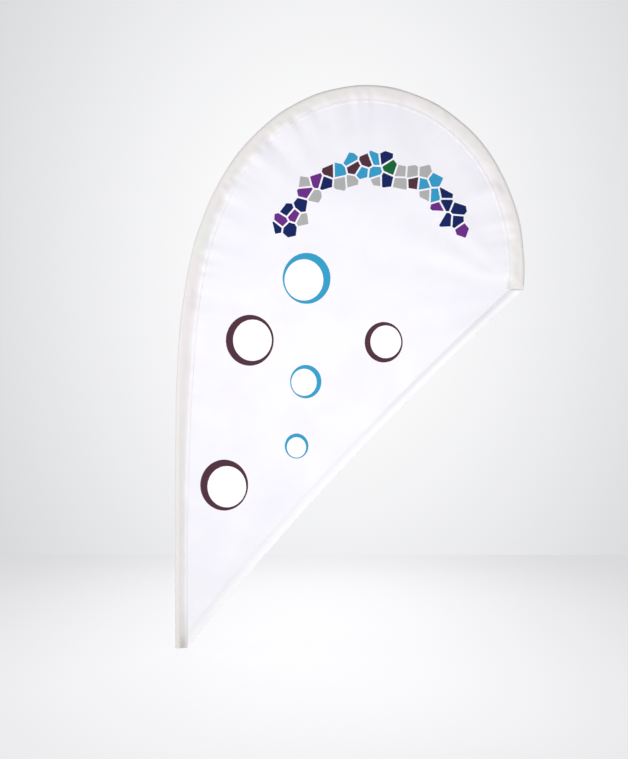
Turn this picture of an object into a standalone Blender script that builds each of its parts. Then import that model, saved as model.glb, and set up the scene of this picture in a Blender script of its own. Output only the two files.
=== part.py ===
"""Teardrop flag: a cloth panel kept taut by a four-piece pole that is bent inside a sewn sleeve.

Frame: metres, +Z up. The origin is the centre of the foot bush's lower face, on the pole's axis.
The pole stands along +Z, bends over towards +X in the plane y = 0, and ends at the fly corner.
The printed side of the cloth faces -Y, and the snap button that holds the cloth down faces +Y.
"""

import math

import bmesh
import bpy
import numpy as np
from mathutils import Vector

# The bent pole's axis, from the foot (0) to the sleeve's sewn end
SLEEVE_RUN = 3.330
POLE_TURN = math.radians(184.7)
# Share of the run against relative curvature: straight foot, easing bend, tight crown, relaxed tip
BEND_KNOTS = ((0.0, 0.0), (0.176, 0.0), (0.320, 0.133), (0.695, 1.0), (1.0, 0.523))
STATION_TURN = math.radians(4.0)
STATION_SPACING = 0.12
SHORTEST_FACET = 0.012
FINE_STEPS = 4000

# Pole: the lowest tube's outer radius, then each tube's wall, foot to tip. Each section slides
# into the one below it, and the last is a solid, tapered rod.
POLE_RADIUS = 0.0095
SECTION_WALLS = (0.0015, 0.0016, 0.0017)
ROD_TIP_RADIUS = 0.0025
INSERTION = 0.085
FERRULE_LENGTH = 0.032
FERRULE_WALL = 0.0006
COLLAR_LENGTH = 0.012
COLLAR_STAND_OFF = 0.0009
COLLAR_WALL = 0.0009
TIP_CAP_WALL = 0.0032
TIP_CAP_LENGTH = 0.026
TIP_ALLOWANCE = 0.030

# Running and seating clearances
GAP = 0.00025
CLOTH_GAP = 0.0003

# Foot bush, which takes the spigot of a ground base and in which the pole turns
BUSH_WALL = 0.0016
BUSH_LENGTH = 0.060
BUSH_FLANGE = 0.0025
BUSH_CHAMFER = 0.0006

# Sewn cloth
PANEL_THICKNESS = 0.0006
SLEEVE_THICKNESS = 0.0007
SLEEVE_FACE_FOOT = 0.043
SLEEVE_FACE_HEAD = 0.060
FACE_WIDENS = (0.10, 0.34)
SEAM_LAP = 0.012
MOUTH_DROP = 0.008
END_HALF_GAP = 0.0010
HEM_WIDTH = 0.034
HEM_SAG = 0.035
HEM_THICKNESS = 0.0007
POCKET_LENGTH = 0.060
POCKET_THICKNESS = 0.0010
FACING_HEIGHT = 0.025
FACING_INSET = 0.004
FACING_HALF_ANGLE = math.radians(115)
FACING_THICKNESS = 0.0006

# Snap button, its leaf spring and the eyelet that it holds
BUTTON_HEIGHT = 0.100
BUTTON_RADIUS = 0.0035
BUTTON_PROUD = 0.0022
BUTTON_SHOULDER = 0.0011
BUTTON_FLANGE = 0.0010
EYELET_CLEARANCE = 0.0005
EYELET_BARREL = 0.0006
EYELET_FACE = 0.0032
EYELET_FLANGE = 0.0009
PATCH_HEIGHT = 0.056
PATCH_SLOPE_SHARE = 0.43
PATCH_ARC_FACES = 4
PATCH_THICKNESS = 0.0007
SPRING_WIDTH = 0.006
SPRING_THICKNESS = 0.0005
SPRING_LEG = 0.055

# Facets
ROUND_SIDES = 24
POLE_SIDES = 16
SLEEVE_ARC_STEPS = 12
FACING_STEPS = 12
HEM_ARC_STEPS = 3
HEM_STATIONS = 24

# Name: (linear colour, roughness, metallic)
MATERIALS = {
    "panel_cloth": ((0.88, 0.87, 0.92), 0.90, 0.0),
    "sleeve_cloth": ((0.80, 0.78, 0.80), 0.95, 0.0),
    "webbing": ((0.74, 0.73, 0.72), 0.90, 0.0),
    "aluminium": ((0.70, 0.71, 0.72), 0.35, 1.0),
    "fibreglass": ((0.72, 0.70, 0.62), 0.35, 0.0),
    "nylon": ((0.03, 0.03, 0.03), 0.55, 0.0),
    "rubber": ((0.02, 0.02, 0.02), 0.80, 0.0),
    "nickel": ((0.66, 0.63, 0.57), 0.25, 1.0),
    "spring_steel": ((0.56, 0.57, 0.58), 0.30, 1.0),
}


def clear_scene():
    for old in list(bpy.data.objects):
        bpy.data.objects.remove(old, do_unlink=True)


def collection_named(name, hidden=False):
    made = bpy.data.collections.new(name)
    made.hide_render = hidden
    bpy.context.scene.collection.children.link(made)
    return made


def material_named(name):
    if name in bpy.data.materials:
        return bpy.data.materials[name]
    colour, roughness, metallic = MATERIALS[name]
    made = bpy.data.materials.new(name)
    made.use_nodes = True
    shader = made.node_tree.nodes["Principled BSDF"]
    shader.inputs["Base Color"].default_value = (*colour, 1.0)
    shader.inputs["Roughness"].default_value = roughness
    shader.inputs["Metallic"].default_value = metallic
    return made


def add_object(name, data, material, collection):
    made = bpy.data.objects.new(name, data)
    collection.objects.link(made)
    data.materials.append(material_named(material))
    return made


# ---------------------------------------------------------------------------------------------
# Sizes that follow from the driving dimensions
# ---------------------------------------------------------------------------------------------



def nested_radii():
    """Outer radius of each section: the bore of the one below it, less the clearance."""
    radii = [POLE_RADIUS]
    for wall in SECTION_WALLS:
        radii.append(radii[-1] - wall - GAP)
    return tuple(radii)


SECTION_RADII = nested_radii()
POLE_LENGTH = SLEEVE_RUN - TIP_ALLOWANCE
FOOT_BORE = (POLE_RADIUS - SECTION_WALLS[0]) * math.cos(math.pi / POLE_SIDES)
BUSH_BARREL_RADIUS = FOOT_BORE - GAP
BUSH_BORE_RADIUS = BUSH_BARREL_RADIUS - BUSH_WALL
TUBE_FOOT = BUSH_FLANGE + CLOTH_GAP
SECTION_REACH = POLE_LENGTH / len(SECTION_RADII)
JOINTS = tuple(SECTION_REACH * (k + 1) for k in range(len(SECTION_WALLS)))
FERRULE_RADII = tuple(r + GAP + FERRULE_WALL for r in SECTION_RADII[:-1])
ROD_END = POLE_LENGTH - TIP_CAP_WALL - GAP
ROD_TAPER = (SECTION_RADII[-1] - ROD_TIP_RADIUS) / (ROD_END - JOINTS[-1] + INSERTION)
TIP_CAP_RADIUS = ROD_TIP_RADIUS + ROD_TAPER * TIP_CAP_LENGTH + GAP + TIP_CAP_WALL
POCKET_RADIUS = TIP_CAP_RADIUS + CLOTH_GAP + POCKET_THICKNESS
POCKET_END = POLE_LENGTH + CLOTH_GAP + POCKET_THICKNESS
POCKET_START = POCKET_END - POCKET_LENGTH
TIP_VOID = POCKET_RADIUS + CLOTH_GAP
TIP_VOID_END = POCKET_END + CLOTH_GAP
PLY_HALF_GAP = PANEL_THICKNESS / 2 + CLOTH_GAP
FACING_RADIUS = POLE_RADIUS + CLOTH_GAP
FOOT_VOID = max(FACING_RADIUS + FACING_THICKNESS, FERRULE_RADII[0]) + CLOTH_GAP
PATCH_CLEARANCE = SLEEVE_THICKNESS + CLOTH_GAP
EYELET_SEAT = FOOT_VOID + PATCH_CLEARANCE + PATCH_THICKNESS + CLOTH_GAP
EYELET_TOP = EYELET_SEAT + EYELET_FLANGE
EYELET_BORE_RADIUS = BUTTON_RADIUS + EYELET_CLEARANCE
EYELET_BARREL_RADIUS = EYELET_BORE_RADIUS + EYELET_BARREL
EYELET_HOLE_RADIUS = EYELET_BARREL_RADIUS + CLOTH_GAP
BUTTON_FLANGE_RADIUS = BUTTON_RADIUS + BUTTON_SHOULDER


def void_knots():
    """(arc length, radius) of the room round the pole: its foot, each ferrule, the tip pocket."""
    knots = [(-MOUTH_DROP, FOOT_VOID), (JOINTS[0], FOOT_VOID)]
    for joint, radius in zip(JOINTS[1:], FERRULE_RADII[1:]):
        knots += [(joint - FERRULE_LENGTH, radius + CLOTH_GAP), (joint, radius + CLOTH_GAP)]
    return knots + [(POCKET_START, TIP_VOID), (TIP_VOID_END, TIP_VOID)]


def void_radius(s):
    """Inner radius of the sleeve round the pole, which closes flat beyond the tip pocket."""
    return np.interp(s, *zip(*void_knots(), (SLEEVE_RUN, END_HALF_GAP)))


def outer_reach(s):
    """How far the inside of the sleeve's outer fold lies from the pole's axis."""
    return np.interp(s, *zip(*void_knots()))


def face_width(s):
    """Width of the sleeve's face, from its outer fold to its sewn lip."""
    low, high = (share * SLEEVE_RUN for share in FACE_WIDENS)
    t = np.clip((s - low) / (high - low), 0.0, 1.0)
    return SLEEVE_FACE_FOOT + (SLEEVE_FACE_HEAD - SLEEVE_FACE_FOOT) * t * t * (3 - 2 * t)


def lip_distance(s):
    """How far the sleeve's lip lies from the pole's axis, towards the panel."""
    return face_width(s) - outer_reach(s) - SLEEVE_THICKNESS


# ---------------------------------------------------------------------------------------------
# The pole's axis: a curve of known length and turn, then the chain of straight facets along it
# ---------------------------------------------------------------------------------------------


def bent_axis():
    """Arc lengths, x, z and headings along the run, from the bend's relative curvature."""
    s = np.linspace(0.0, SLEEVE_RUN, FINE_STEPS + 1)
    shares, weights = zip(*BEND_KNOTS)
    curvature = np.interp(s / SLEEVE_RUN, shares, weights)
    step = s[1]
    turned = np.concatenate([[0.0], np.cumsum((curvature[1:] + curvature[:-1]) / 2 * step)])
    scale = POLE_TURN / turned[-1]
    heading = turned * scale
    dx = (np.sin(heading[1:]) + np.sin(heading[:-1])) / 2 * step
    dz = (np.cos(heading[1:]) + np.cos(heading[:-1])) / 2 * step
    x = np.concatenate([[0.0], np.cumsum(dx)])
    z = np.concatenate([[0.0], np.cumsum(dz)])
    return s, x, z, curvature * scale


def facet_chain():
    """Stations along the axis, close where it bends: arc length and point of each.

    There is one wherever the room inside the sleeve changes, and one at each end.
    """
    s, x, z, curvature = bent_axis()
    rate = np.maximum(curvature / STATION_TURN, 1.0 / STATION_SPACING)
    count = np.concatenate([[0.0], np.cumsum((rate[1:] + rate[:-1]) / 2 * s[1])])
    even = np.interp(np.arange(1, math.ceil(count[-1])), count, s)
    fixed = np.array([0.0, *(knot for knot, _ in void_knots()[1:]), SLEEVE_RUN])
    clear = np.abs(even[:, None] - fixed[None, :]).min(axis=1) > SHORTEST_FACET
    at = np.sort(np.concatenate([even[clear], fixed]))
    points = np.stack([np.interp(at, s, x), np.interp(at, s, z)], axis=1)
    return np.insert(at, 0, -MOUTH_DROP), np.vstack([[0.0, -MOUTH_DROP], points])


STATIONS, CHAIN = facet_chain()


def route(start, end):
    """(arc length, point, outward normal) from start to end along the facets, as x-z vectors.

    Every piece on the pole reads the same facets, so nested pieces stay parallel.
    """
    inner = STATIONS[(STATIONS > start + 1e-6) & (STATIONS < end - 1e-6)]
    at = np.concatenate([[start], inner, [end]])
    points = np.stack([np.interp(at, STATIONS, CHAIN[:, k]) for k in range(2)], axis=1)
    along = np.diff(points, axis=0)
    along /= np.linalg.norm(along, axis=1)[:, None]
    before = np.vstack([along[:1], along])
    after = np.vstack([along, along[-1:]])
    tangent = before + after
    tangent /= np.linalg.norm(tangent, axis=1)[:, None]
    outward = np.stack([-tangent[:, 1], tangent[:, 0]], axis=1)
    return at, points, outward


# ---------------------------------------------------------------------------------------------
# Round pieces along the axis
# ---------------------------------------------------------------------------------------------


def curve_along(name, start, end, radius, end_radius, capped, material, collection):
    """A bevelled curve that follows the facets, tapering from radius to end_radius."""
    at, points, _ = route(start, end)
    curve = bpy.data.curves.new(name, "CURVE")
    curve.dimensions = "3D"
    curve.bevel_depth = radius
    curve.bevel_resolution = (POLE_SIDES - 4) // 2
    curve.use_fill_caps = capped
    spline = curve.splines.new("POLY")
    spline.points.add(len(points) - 1)
    for knot, s, (x, z) in zip(spline.points, at, points):
        share = (s - start) / (end - start)
        knot.co = (x, 0.0, z, 1.0)
        knot.radius = 1.0 + (end_radius / radius - 1.0) * share
    return add_object(name, curve, material, collection)


def as_mesh(source):
    """The evaluated curve as a mesh object in the same place, with its caps welded on."""
    graph = bpy.context.evaluated_depsgraph_get()
    mesh = bpy.data.meshes.new_from_object(source.evaluated_get(graph))
    work = bmesh.new()
    work.from_mesh(mesh)
    bmesh.ops.remove_doubles(work, verts=work.verts, dist=1e-6)
    work.to_mesh(mesh)
    work.free()
    name, collection, matrix = source.name, source.users_collection[0], source.matrix_world.copy()
    bpy.data.objects.remove(source, do_unlink=True)
    made = bpy.data.objects.new(name, mesh)
    made.matrix_world = matrix
    collection.objects.link(made)
    return made


def add_wall(target, thickness):
    """Thickens an open surface inwards, against its normals."""
    wall = target.modifiers.new("wall", "SOLIDIFY")
    wall.thickness = thickness
    wall.offset = -1.0
    wall.use_even_offset = True
    return target


def rod_along(name, start, end, radius, material, collection, end_radius=None):
    return curve_along(name, start, end, radius, end_radius or radius, True, material, collection)


def tube_along(name, start, end, radius, wall, material, collection):
    made = curve_along(name, start, end, radius, radius, False, material, collection)
    return add_wall(made, wall)


def cup_along(name, start, end, radius, wall, material, collection, cutters):
    """A tube that is closed at its far end, as a cap or a sewn pocket is."""
    made = as_mesh(rod_along(name, start, end, radius, material, collection))
    bore = rod_along(name + "_bore", start - wall, end - wall, radius - wall, material, cutters)
    subtract(made, as_mesh(bore), cutters)


# ---------------------------------------------------------------------------------------------
# Cloth folded round an edge
# ---------------------------------------------------------------------------------------------


def bulge_angles(radius, seam, arc_steps):
    """Bearings round a bulge, between the two lines that run tangent to it from the seam."""
    half_gap = min(PLY_HALF_GAP, radius)
    reach = math.hypot(seam, half_gap)
    start = math.atan2(half_gap, seam) + math.acos(min(1.0, radius / reach))
    return np.linspace(start, 2 * math.pi - start, arc_steps + 1)


def fold_profile(radius, seam, lip, arc_steps):
    """A strip folded round a bulge, as (distance towards the panel, y) from lip to lip.

    The plies lie PLY_HALF_GAP from the mid-plane between lip and seam, run tangent to the bulge,
    and go round its outer side.
    """
    half_gap = min(PLY_HALF_GAP, radius)
    back = [(lip, half_gap), (seam, half_gap)]
    arc = bulge_angles(radius, seam, arc_steps)
    bend = [(radius * math.cos(a), radius * math.sin(a)) for a in arc]
    return back + bend + [(d, -y) for d, y in reversed(back)]


def cloth_grid(name, rows, thickness, material, collection):
    """Cloth on a grid of points, one row for each station, thickened to one side."""
    work = bmesh.new()
    grid = [[work.verts.new(point) for point in row] for row in rows]
    for row, following in zip(grid, grid[1:]):
        for k in range(len(row) - 1):
            work.faces.new((row[k], row[k + 1], following[k + 1], following[k]))
    mesh = bpy.data.meshes.new(name)
    work.to_mesh(mesh)
    work.free()
    made = add_object(name, mesh, material, collection)
    wall = made.modifiers.new("ply", "SOLIDIFY")
    wall.thickness = thickness
    wall.offset = 1.0
    wall.use_even_offset = True
    return made


def folded_row(centre, towards, profile):
    """One profile placed at centre, with its distances along the x-z vector towards."""
    return [
        (centre[0] + d * towards[0], y, centre[1] + d * towards[1]) for d, y in profile
    ]


def sleeve_rows():
    rows = []
    for s, point, normal in zip(*route(-MOUTH_DROP, SLEEVE_RUN)):
        radius = void_radius(s)
        shift = outer_reach(s) - radius
        lip = lip_distance(s) + shift
        profile = fold_profile(radius, lip - SEAM_LAP, lip, SLEEVE_ARC_STEPS)
        rows.append(folded_row(point + normal * shift, -normal, profile))
    return rows


def arc_through(start, end, sag):
    """Centre and radius of the circle from start to end that bows sag to the left of the way."""
    chord = end - start
    half = np.linalg.norm(chord) / 2
    radius = (half * half + sag * sag) / (2 * sag)
    left = np.array([-chord[1], chord[0]]) / (2 * half)
    return (start + end) / 2 - left * (radius - sag), radius


def on_circle(centre, radius, point, direction):
    """Where the line through point along direction first meets the circle, going forwards."""
    direction = direction / np.linalg.norm(direction)
    rel = point - centre
    b = rel @ direction
    root = math.sqrt(b * b - (rel @ rel - radius * radius))
    near = [t for t in (-b - root, -b + root) if t > -1e-9]
    return point + direction * min(near)


def arc_points(centre, start, end, count):
    first = math.atan2(*(start - centre)[::-1])
    last = math.atan2(*(end - centre)[::-1])
    turn = (last - first + math.pi) % (2 * math.pi) - math.pi
    radii = np.linspace(np.linalg.norm(start - centre), np.linalg.norm(end - centre), count)
    angles = first + np.linspace(0.0, turn, count)
    return centre + radii[:, None] * np.stack([np.cos(angles), np.sin(angles)], axis=1)


def slant_edge():
    """The free edge: fly corner, mouth corner, sleeve-end direction, arc centre and radius."""
    _, points, outward = route(0.0, SLEEVE_RUN)
    end, normal = points[-1], outward[-1]
    tangent = np.array([normal[1], -normal[0]])
    reach = outer_reach(SLEEVE_RUN) + SLEEVE_THICKNESS
    fly = end + normal * reach + tangent * CLOTH_GAP
    mouth = np.array([lip_distance(-MOUTH_DROP) + CLOTH_GAP, -MOUTH_DROP])
    centre, radius = arc_through(mouth, fly, HEM_SAG)
    return fly, mouth, -normal, centre, radius


def hem_rows():
    """The hem tape's profiles, square to its edge but mitred to the sleeve at both ends."""
    fly, mouth, inward, centre, radius = slant_edge()
    inner_radius = radius + HEM_WIDTH
    top = on_circle(centre, inner_radius, fly, inward)
    foot = on_circle(centre, inner_radius, mouth, np.array([0.0, 1.0]))
    outer = arc_points(centre, fly, mouth, HEM_STATIONS)
    inner = arc_points(centre, top, foot, HEM_STATIONS)
    rows = []
    for edge, lip in zip(outer, inner):
        width = np.linalg.norm(lip - edge)
        towards = (lip - edge) / width
        fold = PLY_HALF_GAP + HEM_THICKNESS
        reach = width - fold
        profile = fold_profile(PLY_HALF_GAP, reach / 2, reach, HEM_ARC_STEPS)
        rows.append(folded_row(edge + towards * fold, towards, profile))
    return rows


def panel_outline():
    """The panel's cut edge: inside the sleeve's lips, then inside the hem's fold."""
    inset = PLY_HALF_GAP + HEM_THICKNESS + CLOTH_GAP
    fly, mouth, inward, centre, radius = slant_edge()
    tongue = [
        point - normal * (lip_distance(s) - SEAM_LAP)
        for s, point, normal in zip(*route(-MOUTH_DROP + inset, SLEEVE_RUN))
    ]
    onward = np.array([-inward[1], inward[0]])
    top = on_circle(centre, radius + inset, fly + onward * inset, inward)
    foot = on_circle(centre, radius + inset, tongue[0], np.array([1.0, 0.0]))
    edge = arc_points(centre, top, foot, HEM_STATIONS)
    return [tuple(point) for point in tongue] + [tuple(point) for point in edge]


def flat_piece(name, outline, thickness, material, collection):
    """A closed x-z outline, filled and extruded either side of y = 0."""
    curve = bpy.data.curves.new(name, "CURVE")
    curve.dimensions = "2D"
    curve.fill_mode = "BOTH"
    curve.extrude = thickness / 2
    spline = curve.splines.new("POLY")
    spline.points.add(len(outline) - 1)
    for knot, (x, z) in zip(spline.points, outline):
        knot.co = (x, z, 0.0, 1.0)
    spline.use_cyclic_u = True
    made = add_object(name, curve, material, collection)
    made.rotation_euler = (math.radians(90), 0, 0)
    return made


def facing_rows():
    """The mouth's lining, round the pole's outer side."""
    angles = math.pi + np.linspace(-FACING_HALF_ANGLE, FACING_HALF_ANGLE, FACING_STEPS + 1)
    ring = [(FACING_RADIUS * math.cos(a), FACING_RADIUS * math.sin(a)) for a in angles]
    return [[(x, y, z) for x, y in ring] for z in (FACING_INSET - MOUTH_DROP, FACING_HEIGHT)]


def patch_rows():
    """The patch on the sleeve's back: part of the slope from the seam, then round the bulge.

    The faces keep to the sleeve's own facets, so that the patch lies flat on them.
    """
    seam = lip_distance(0.0) - SEAM_LAP
    angles = bulge_angles(FOOT_VOID, seam, SLEEVE_ARC_STEPS)[: PATCH_ARC_FACES + 1]
    radius = FOOT_VOID + PATCH_CLEARANCE
    path = [(radius * math.cos(a), radius * math.sin(a)) for a in angles]
    (x, y), first = path[0], angles[0]
    run_on = PATCH_SLOPE_SHARE * (seam - FOOT_VOID * math.cos(first)) / math.sin(first)
    path.insert(0, (x + run_on * math.sin(first), y - run_on * math.cos(first)))
    heights = (BUTTON_HEIGHT - PATCH_HEIGHT / 2, BUTTON_HEIGHT + PATCH_HEIGHT / 2)
    return [[(x, y, z) for x, y in path] for z in heights]


# ---------------------------------------------------------------------------------------------
# Turned pieces and cuts
# ---------------------------------------------------------------------------------------------


def turned(name, profile, material, collection, along_y=False):
    """A closed (radius, height) profile swept once round Z, or round Y where along_y is set."""
    work = bmesh.new()
    knots = [work.verts.new((r, 0.0, z)) for r, z in profile]
    for k, knot in enumerate(knots):
        work.edges.new((knot, knots[(k + 1) % len(knots)]))
    mesh = bpy.data.meshes.new(name)
    work.to_mesh(mesh)
    work.free()
    made = add_object(name, mesh, material, collection)
    screw = made.modifiers.new("turn", "SCREW")
    screw.angle = 2 * math.pi
    screw.steps = screw.render_steps = ROUND_SIDES
    screw.use_merge_vertices = True
    screw.merge_threshold = 1e-6
    if along_y:
        made.rotation_euler = (math.radians(-90), 0, 0)
        made.location = (0.0, 0.0, BUTTON_HEIGHT)
    return made


def subtract(target, cutter, cutters):
    """Takes the cutter's shape out of the target, and leaves the cutter as a hidden guide."""
    for home in list(cutter.users_collection):
        home.objects.unlink(cutter)
    cutters.objects.link(cutter)
    cutter.hide_render = True
    cutter.display_type = "WIRE"
    cut = target.modifiers.new("cut", "BOOLEAN")
    cut.operation = "DIFFERENCE"
    cut.object = cutter


def cut_hole(target, radius, near, far, cutters):
    """Cuts a round hole along +Y at the button's height."""
    bpy.ops.mesh.primitive_cylinder_add(
        vertices=ROUND_SIDES,
        radius=radius,
        depth=far - near,
        location=(0.0, (near + far) / 2, BUTTON_HEIGHT),
        rotation=(math.radians(90), 0, 0),
    )
    cutter = bpy.context.object
    cutter.name = target.name + "_hole"
    subtract(target, cutter, cutters)


# ---------------------------------------------------------------------------------------------
# The pieces
# ---------------------------------------------------------------------------------------------


def build_pole(collection, cutters):
    """Four sections, each pushed INSERTION deep into the one below it, with their fittings."""
    names = ("pole_foot_section", "pole_lower_section", "pole_upper_section", "pole_tip_section")
    starts = (TUBE_FOOT, *(joint - INSERTION for joint in JOINTS))
    for k, wall in enumerate(SECTION_WALLS):
        material = "fibreglass" if k else "aluminium"
        made = tube_along(
            names[k], starts[k], JOINTS[k], SECTION_RADII[k], wall, material, collection
        )
        if k == 0:
            foot = as_mesh(made)
            cut_hole(foot, BUTTON_RADIUS + GAP, 0.0, 2 * POLE_RADIUS, cutters)
    rod_along(
        names[-1], starts[-1], ROD_END, SECTION_RADII[-1], "fibreglass", collection, ROD_TIP_RADIUS
    )
    for k, joint in enumerate(JOINTS):
        tube_along(
            f"ferrule_{k + 1}",
            joint - FERRULE_LENGTH,
            joint,
            FERRULE_RADII[k],
            FERRULE_WALL,
            "aluminium",
            collection,
        )
        tube_along(
            f"stop_collar_{k + 1}",
            joint + COLLAR_STAND_OFF,
            joint + COLLAR_STAND_OFF + COLLAR_LENGTH,
            SECTION_RADII[k + 1] + GAP + COLLAR_WALL,
            COLLAR_WALL,
            "nylon",
            collection,
        )
    cup_along(
        "tip_cap",
        POLE_LENGTH - TIP_CAP_LENGTH,
        POLE_LENGTH,
        TIP_CAP_RADIUS,
        TIP_CAP_WALL,
        "rubber",
        collection,
        cutters,
    )


def build_foot_bush(collection):
    """A flanged nylon bush: the pole stands on its flange and turns round its barrel."""
    barrel = BUSH_BARREL_RADIUS
    flange = POLE_RADIUS
    profile = (
        (BUSH_BORE_RADIUS, BUSH_LENGTH),
        (barrel - BUSH_CHAMFER, BUSH_LENGTH),
        (barrel, BUSH_LENGTH - BUSH_CHAMFER),
        (barrel, BUSH_FLANGE),
        (flange, BUSH_FLANGE),
        (flange, BUSH_CHAMFER),
        (flange - BUSH_CHAMFER, 0.0),
        (BUSH_BORE_RADIUS + BUSH_CHAMFER, 0.0),
        (BUSH_BORE_RADIUS, BUSH_CHAMFER),
    )
    turned("foot_bush", profile, "nylon", collection)


def build_button(collection):
    """The snap button, on a leaf spring that pushes it out through the tube's wall."""
    top = EYELET_TOP + BUTTON_PROUD
    shoulder = math.sqrt(FOOT_BORE**2 - BUTTON_FLANGE_RADIUS**2) - GAP
    dome = 0.4 * BUTTON_RADIUS
    profile = (
        (0.0, top),
        (0.45 * BUTTON_RADIUS, top - 0.12 * dome),
        (0.80 * BUTTON_RADIUS, top - 0.50 * dome),
        (BUTTON_RADIUS, top - 1.3 * dome),
        (BUTTON_RADIUS, shoulder),
        (BUTTON_FLANGE_RADIUS, shoulder),
        (BUTTON_FLANGE_RADIUS, shoulder - BUTTON_FLANGE),
        (0.0, shoulder - BUTTON_FLANGE),
    )
    turned("snap_button", profile, "nickel", collection, along_y=True)

    leaf_top = shoulder - BUTTON_FLANGE - GAP
    leaf_bottom = GAP - math.sqrt(FOOT_BORE**2 - (SPRING_WIDTH / 2) ** 2)
    bend = (leaf_top - leaf_bottom) / 2
    low = BUTTON_HEIGHT - BUTTON_FLANGE_RADIUS - 2 * GAP
    high = low + SPRING_LEG
    middle = leaf_top - bend
    path = [(leaf_top, low)]
    path += [
        (middle + bend * math.cos(a), high + bend * math.sin(a))
        for a in np.linspace(0.0, math.pi, 9)
    ]
    path.append((leaf_bottom, low))
    rows = [[(x, y, z) for y, z in path] for x in (SPRING_WIDTH / 2, -SPRING_WIDTH / 2)]
    cloth_grid("button_spring", rows, SPRING_THICKNESS, "spring_steel", collection)


def build_eyelet(collection, cutters):
    """The sleeve's reinforcing patch and the eyelet through patch and sleeve."""
    rim = EYELET_BARREL_RADIUS + EYELET_FACE
    profile = (
        (EYELET_BORE_RADIUS, EYELET_TOP),
        (rim - EYELET_FLANGE / 2, EYELET_TOP),
        (rim, EYELET_TOP - EYELET_FLANGE / 2),
        (rim, EYELET_SEAT),
        (EYELET_BARREL_RADIUS, EYELET_SEAT),
        (EYELET_BARREL_RADIUS, POLE_RADIUS + CLOTH_GAP),
        (EYELET_BORE_RADIUS, POLE_RADIUS + CLOTH_GAP),
    )
    turned("eyelet", profile, "nickel", collection, along_y=True)
    patch = cloth_grid("eyelet_patch", patch_rows(), PATCH_THICKNESS, "webbing", collection)
    cut_hole(patch, EYELET_HOLE_RADIUS, 0.0, 2 * EYELET_TOP, cutters)


def build_panel(collection):
    flat_piece("flag_panel", panel_outline(), PANEL_THICKNESS, "panel_cloth", collection)
    cloth_grid("hem_tape", hem_rows(), HEM_THICKNESS, "sleeve_cloth", collection)


def build_sleeve(collection, cutters):
    """The sleeve, the lining of its open mouth and the pocket at its closed end."""
    sleeve = cloth_grid(
        "pole_sleeve", sleeve_rows(), SLEEVE_THICKNESS, "sleeve_cloth", collection
    )
    cut_hole(sleeve, EYELET_HOLE_RADIUS, 0.0, 2 * EYELET_TOP, cutters)
    cloth_grid("mouth_facing", facing_rows(), FACING_THICKNESS, "webbing", collection)
    cup_along(
        "tip_pocket",
        POCKET_START,
        POCKET_END,
        POCKET_RADIUS,
        POCKET_THICKNESS,
        "webbing",
        collection,
        cutters,
    )


def hang_on_joints(flag):
    """Parents every piece but the bush to the pole's turning axis, and the button to its slide."""
    turn = bpy.data.objects.new("flag_turn", None)
    slide = bpy.data.objects.new("button_press", None)
    for empty in (turn, slide):
        flag.objects.link(empty)
    slide.location = (0.0, 0.0, BUTTON_HEIGHT)
    slide.parent = turn
    for item in flag.objects:
        if item.name not in ("foot_bush", "flag_turn", "button_press", "snap_button"):
            item.parent = turn
    button = bpy.data.objects["snap_button"]
    button.parent = slide
    button.location = (0.0, 0.0, 0.0)


def smooth_shade():
    for item in bpy.data.objects:
        if item.type == "MESH" and not item.hide_render:
            item.data.shade_smooth()
            item.data.set_sharp_from_angle(angle=math.radians(35))


def main():
    clear_scene()
    flag = collection_named("teardrop_flag")
    cutters = collection_named("cutters", hidden=True)
    build_foot_bush(flag)
    build_pole(flag, cutters)
    build_button(flag)
    build_eyelet(flag, cutters)
    build_panel(flag)
    build_sleeve(flag, cutters)
    hang_on_joints(flag)
    smooth_shade()


main()
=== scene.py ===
# %% [markdown]
# # A teardrop flag on its bent pole
# The real object is a printed cloth panel that a long, whippy pole pulls tight. The pole is pushed
# up a sewn sleeve, bends right over in it, and ends in a pocket at the fly corner. Everything hard
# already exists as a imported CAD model, so this file only gives it its looks: the cloth is made
# again with its puckers, folds and stitches, and every other piece gets the finish of its material.

# %% Load the CAD frame
import math

import bmesh
import bpy
import numpy as np
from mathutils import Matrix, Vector


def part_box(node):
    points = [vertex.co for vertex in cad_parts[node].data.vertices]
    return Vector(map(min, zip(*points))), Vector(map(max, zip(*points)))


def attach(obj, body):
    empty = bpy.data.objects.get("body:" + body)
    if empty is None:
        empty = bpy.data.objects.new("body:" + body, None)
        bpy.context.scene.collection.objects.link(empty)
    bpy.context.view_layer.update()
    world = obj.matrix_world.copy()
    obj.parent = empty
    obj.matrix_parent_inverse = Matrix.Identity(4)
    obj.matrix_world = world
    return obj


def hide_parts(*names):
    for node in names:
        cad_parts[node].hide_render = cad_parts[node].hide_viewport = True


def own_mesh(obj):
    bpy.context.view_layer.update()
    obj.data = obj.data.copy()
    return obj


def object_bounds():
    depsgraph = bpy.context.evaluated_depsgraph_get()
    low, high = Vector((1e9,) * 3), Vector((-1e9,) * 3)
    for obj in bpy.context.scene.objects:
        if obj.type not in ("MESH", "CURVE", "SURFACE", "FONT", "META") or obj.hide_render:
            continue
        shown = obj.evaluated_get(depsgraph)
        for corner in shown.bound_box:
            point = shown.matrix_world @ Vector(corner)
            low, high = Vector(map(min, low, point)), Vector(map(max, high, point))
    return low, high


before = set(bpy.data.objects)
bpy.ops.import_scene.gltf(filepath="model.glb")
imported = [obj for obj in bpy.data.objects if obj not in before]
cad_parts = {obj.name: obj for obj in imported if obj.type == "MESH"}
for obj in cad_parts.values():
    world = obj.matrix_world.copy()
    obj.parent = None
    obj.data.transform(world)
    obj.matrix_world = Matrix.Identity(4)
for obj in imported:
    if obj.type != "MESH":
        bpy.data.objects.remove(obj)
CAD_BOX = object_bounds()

print("CAD box", [tuple(round(v, 4) for v in corner) for corner in CAD_BOX])

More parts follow.
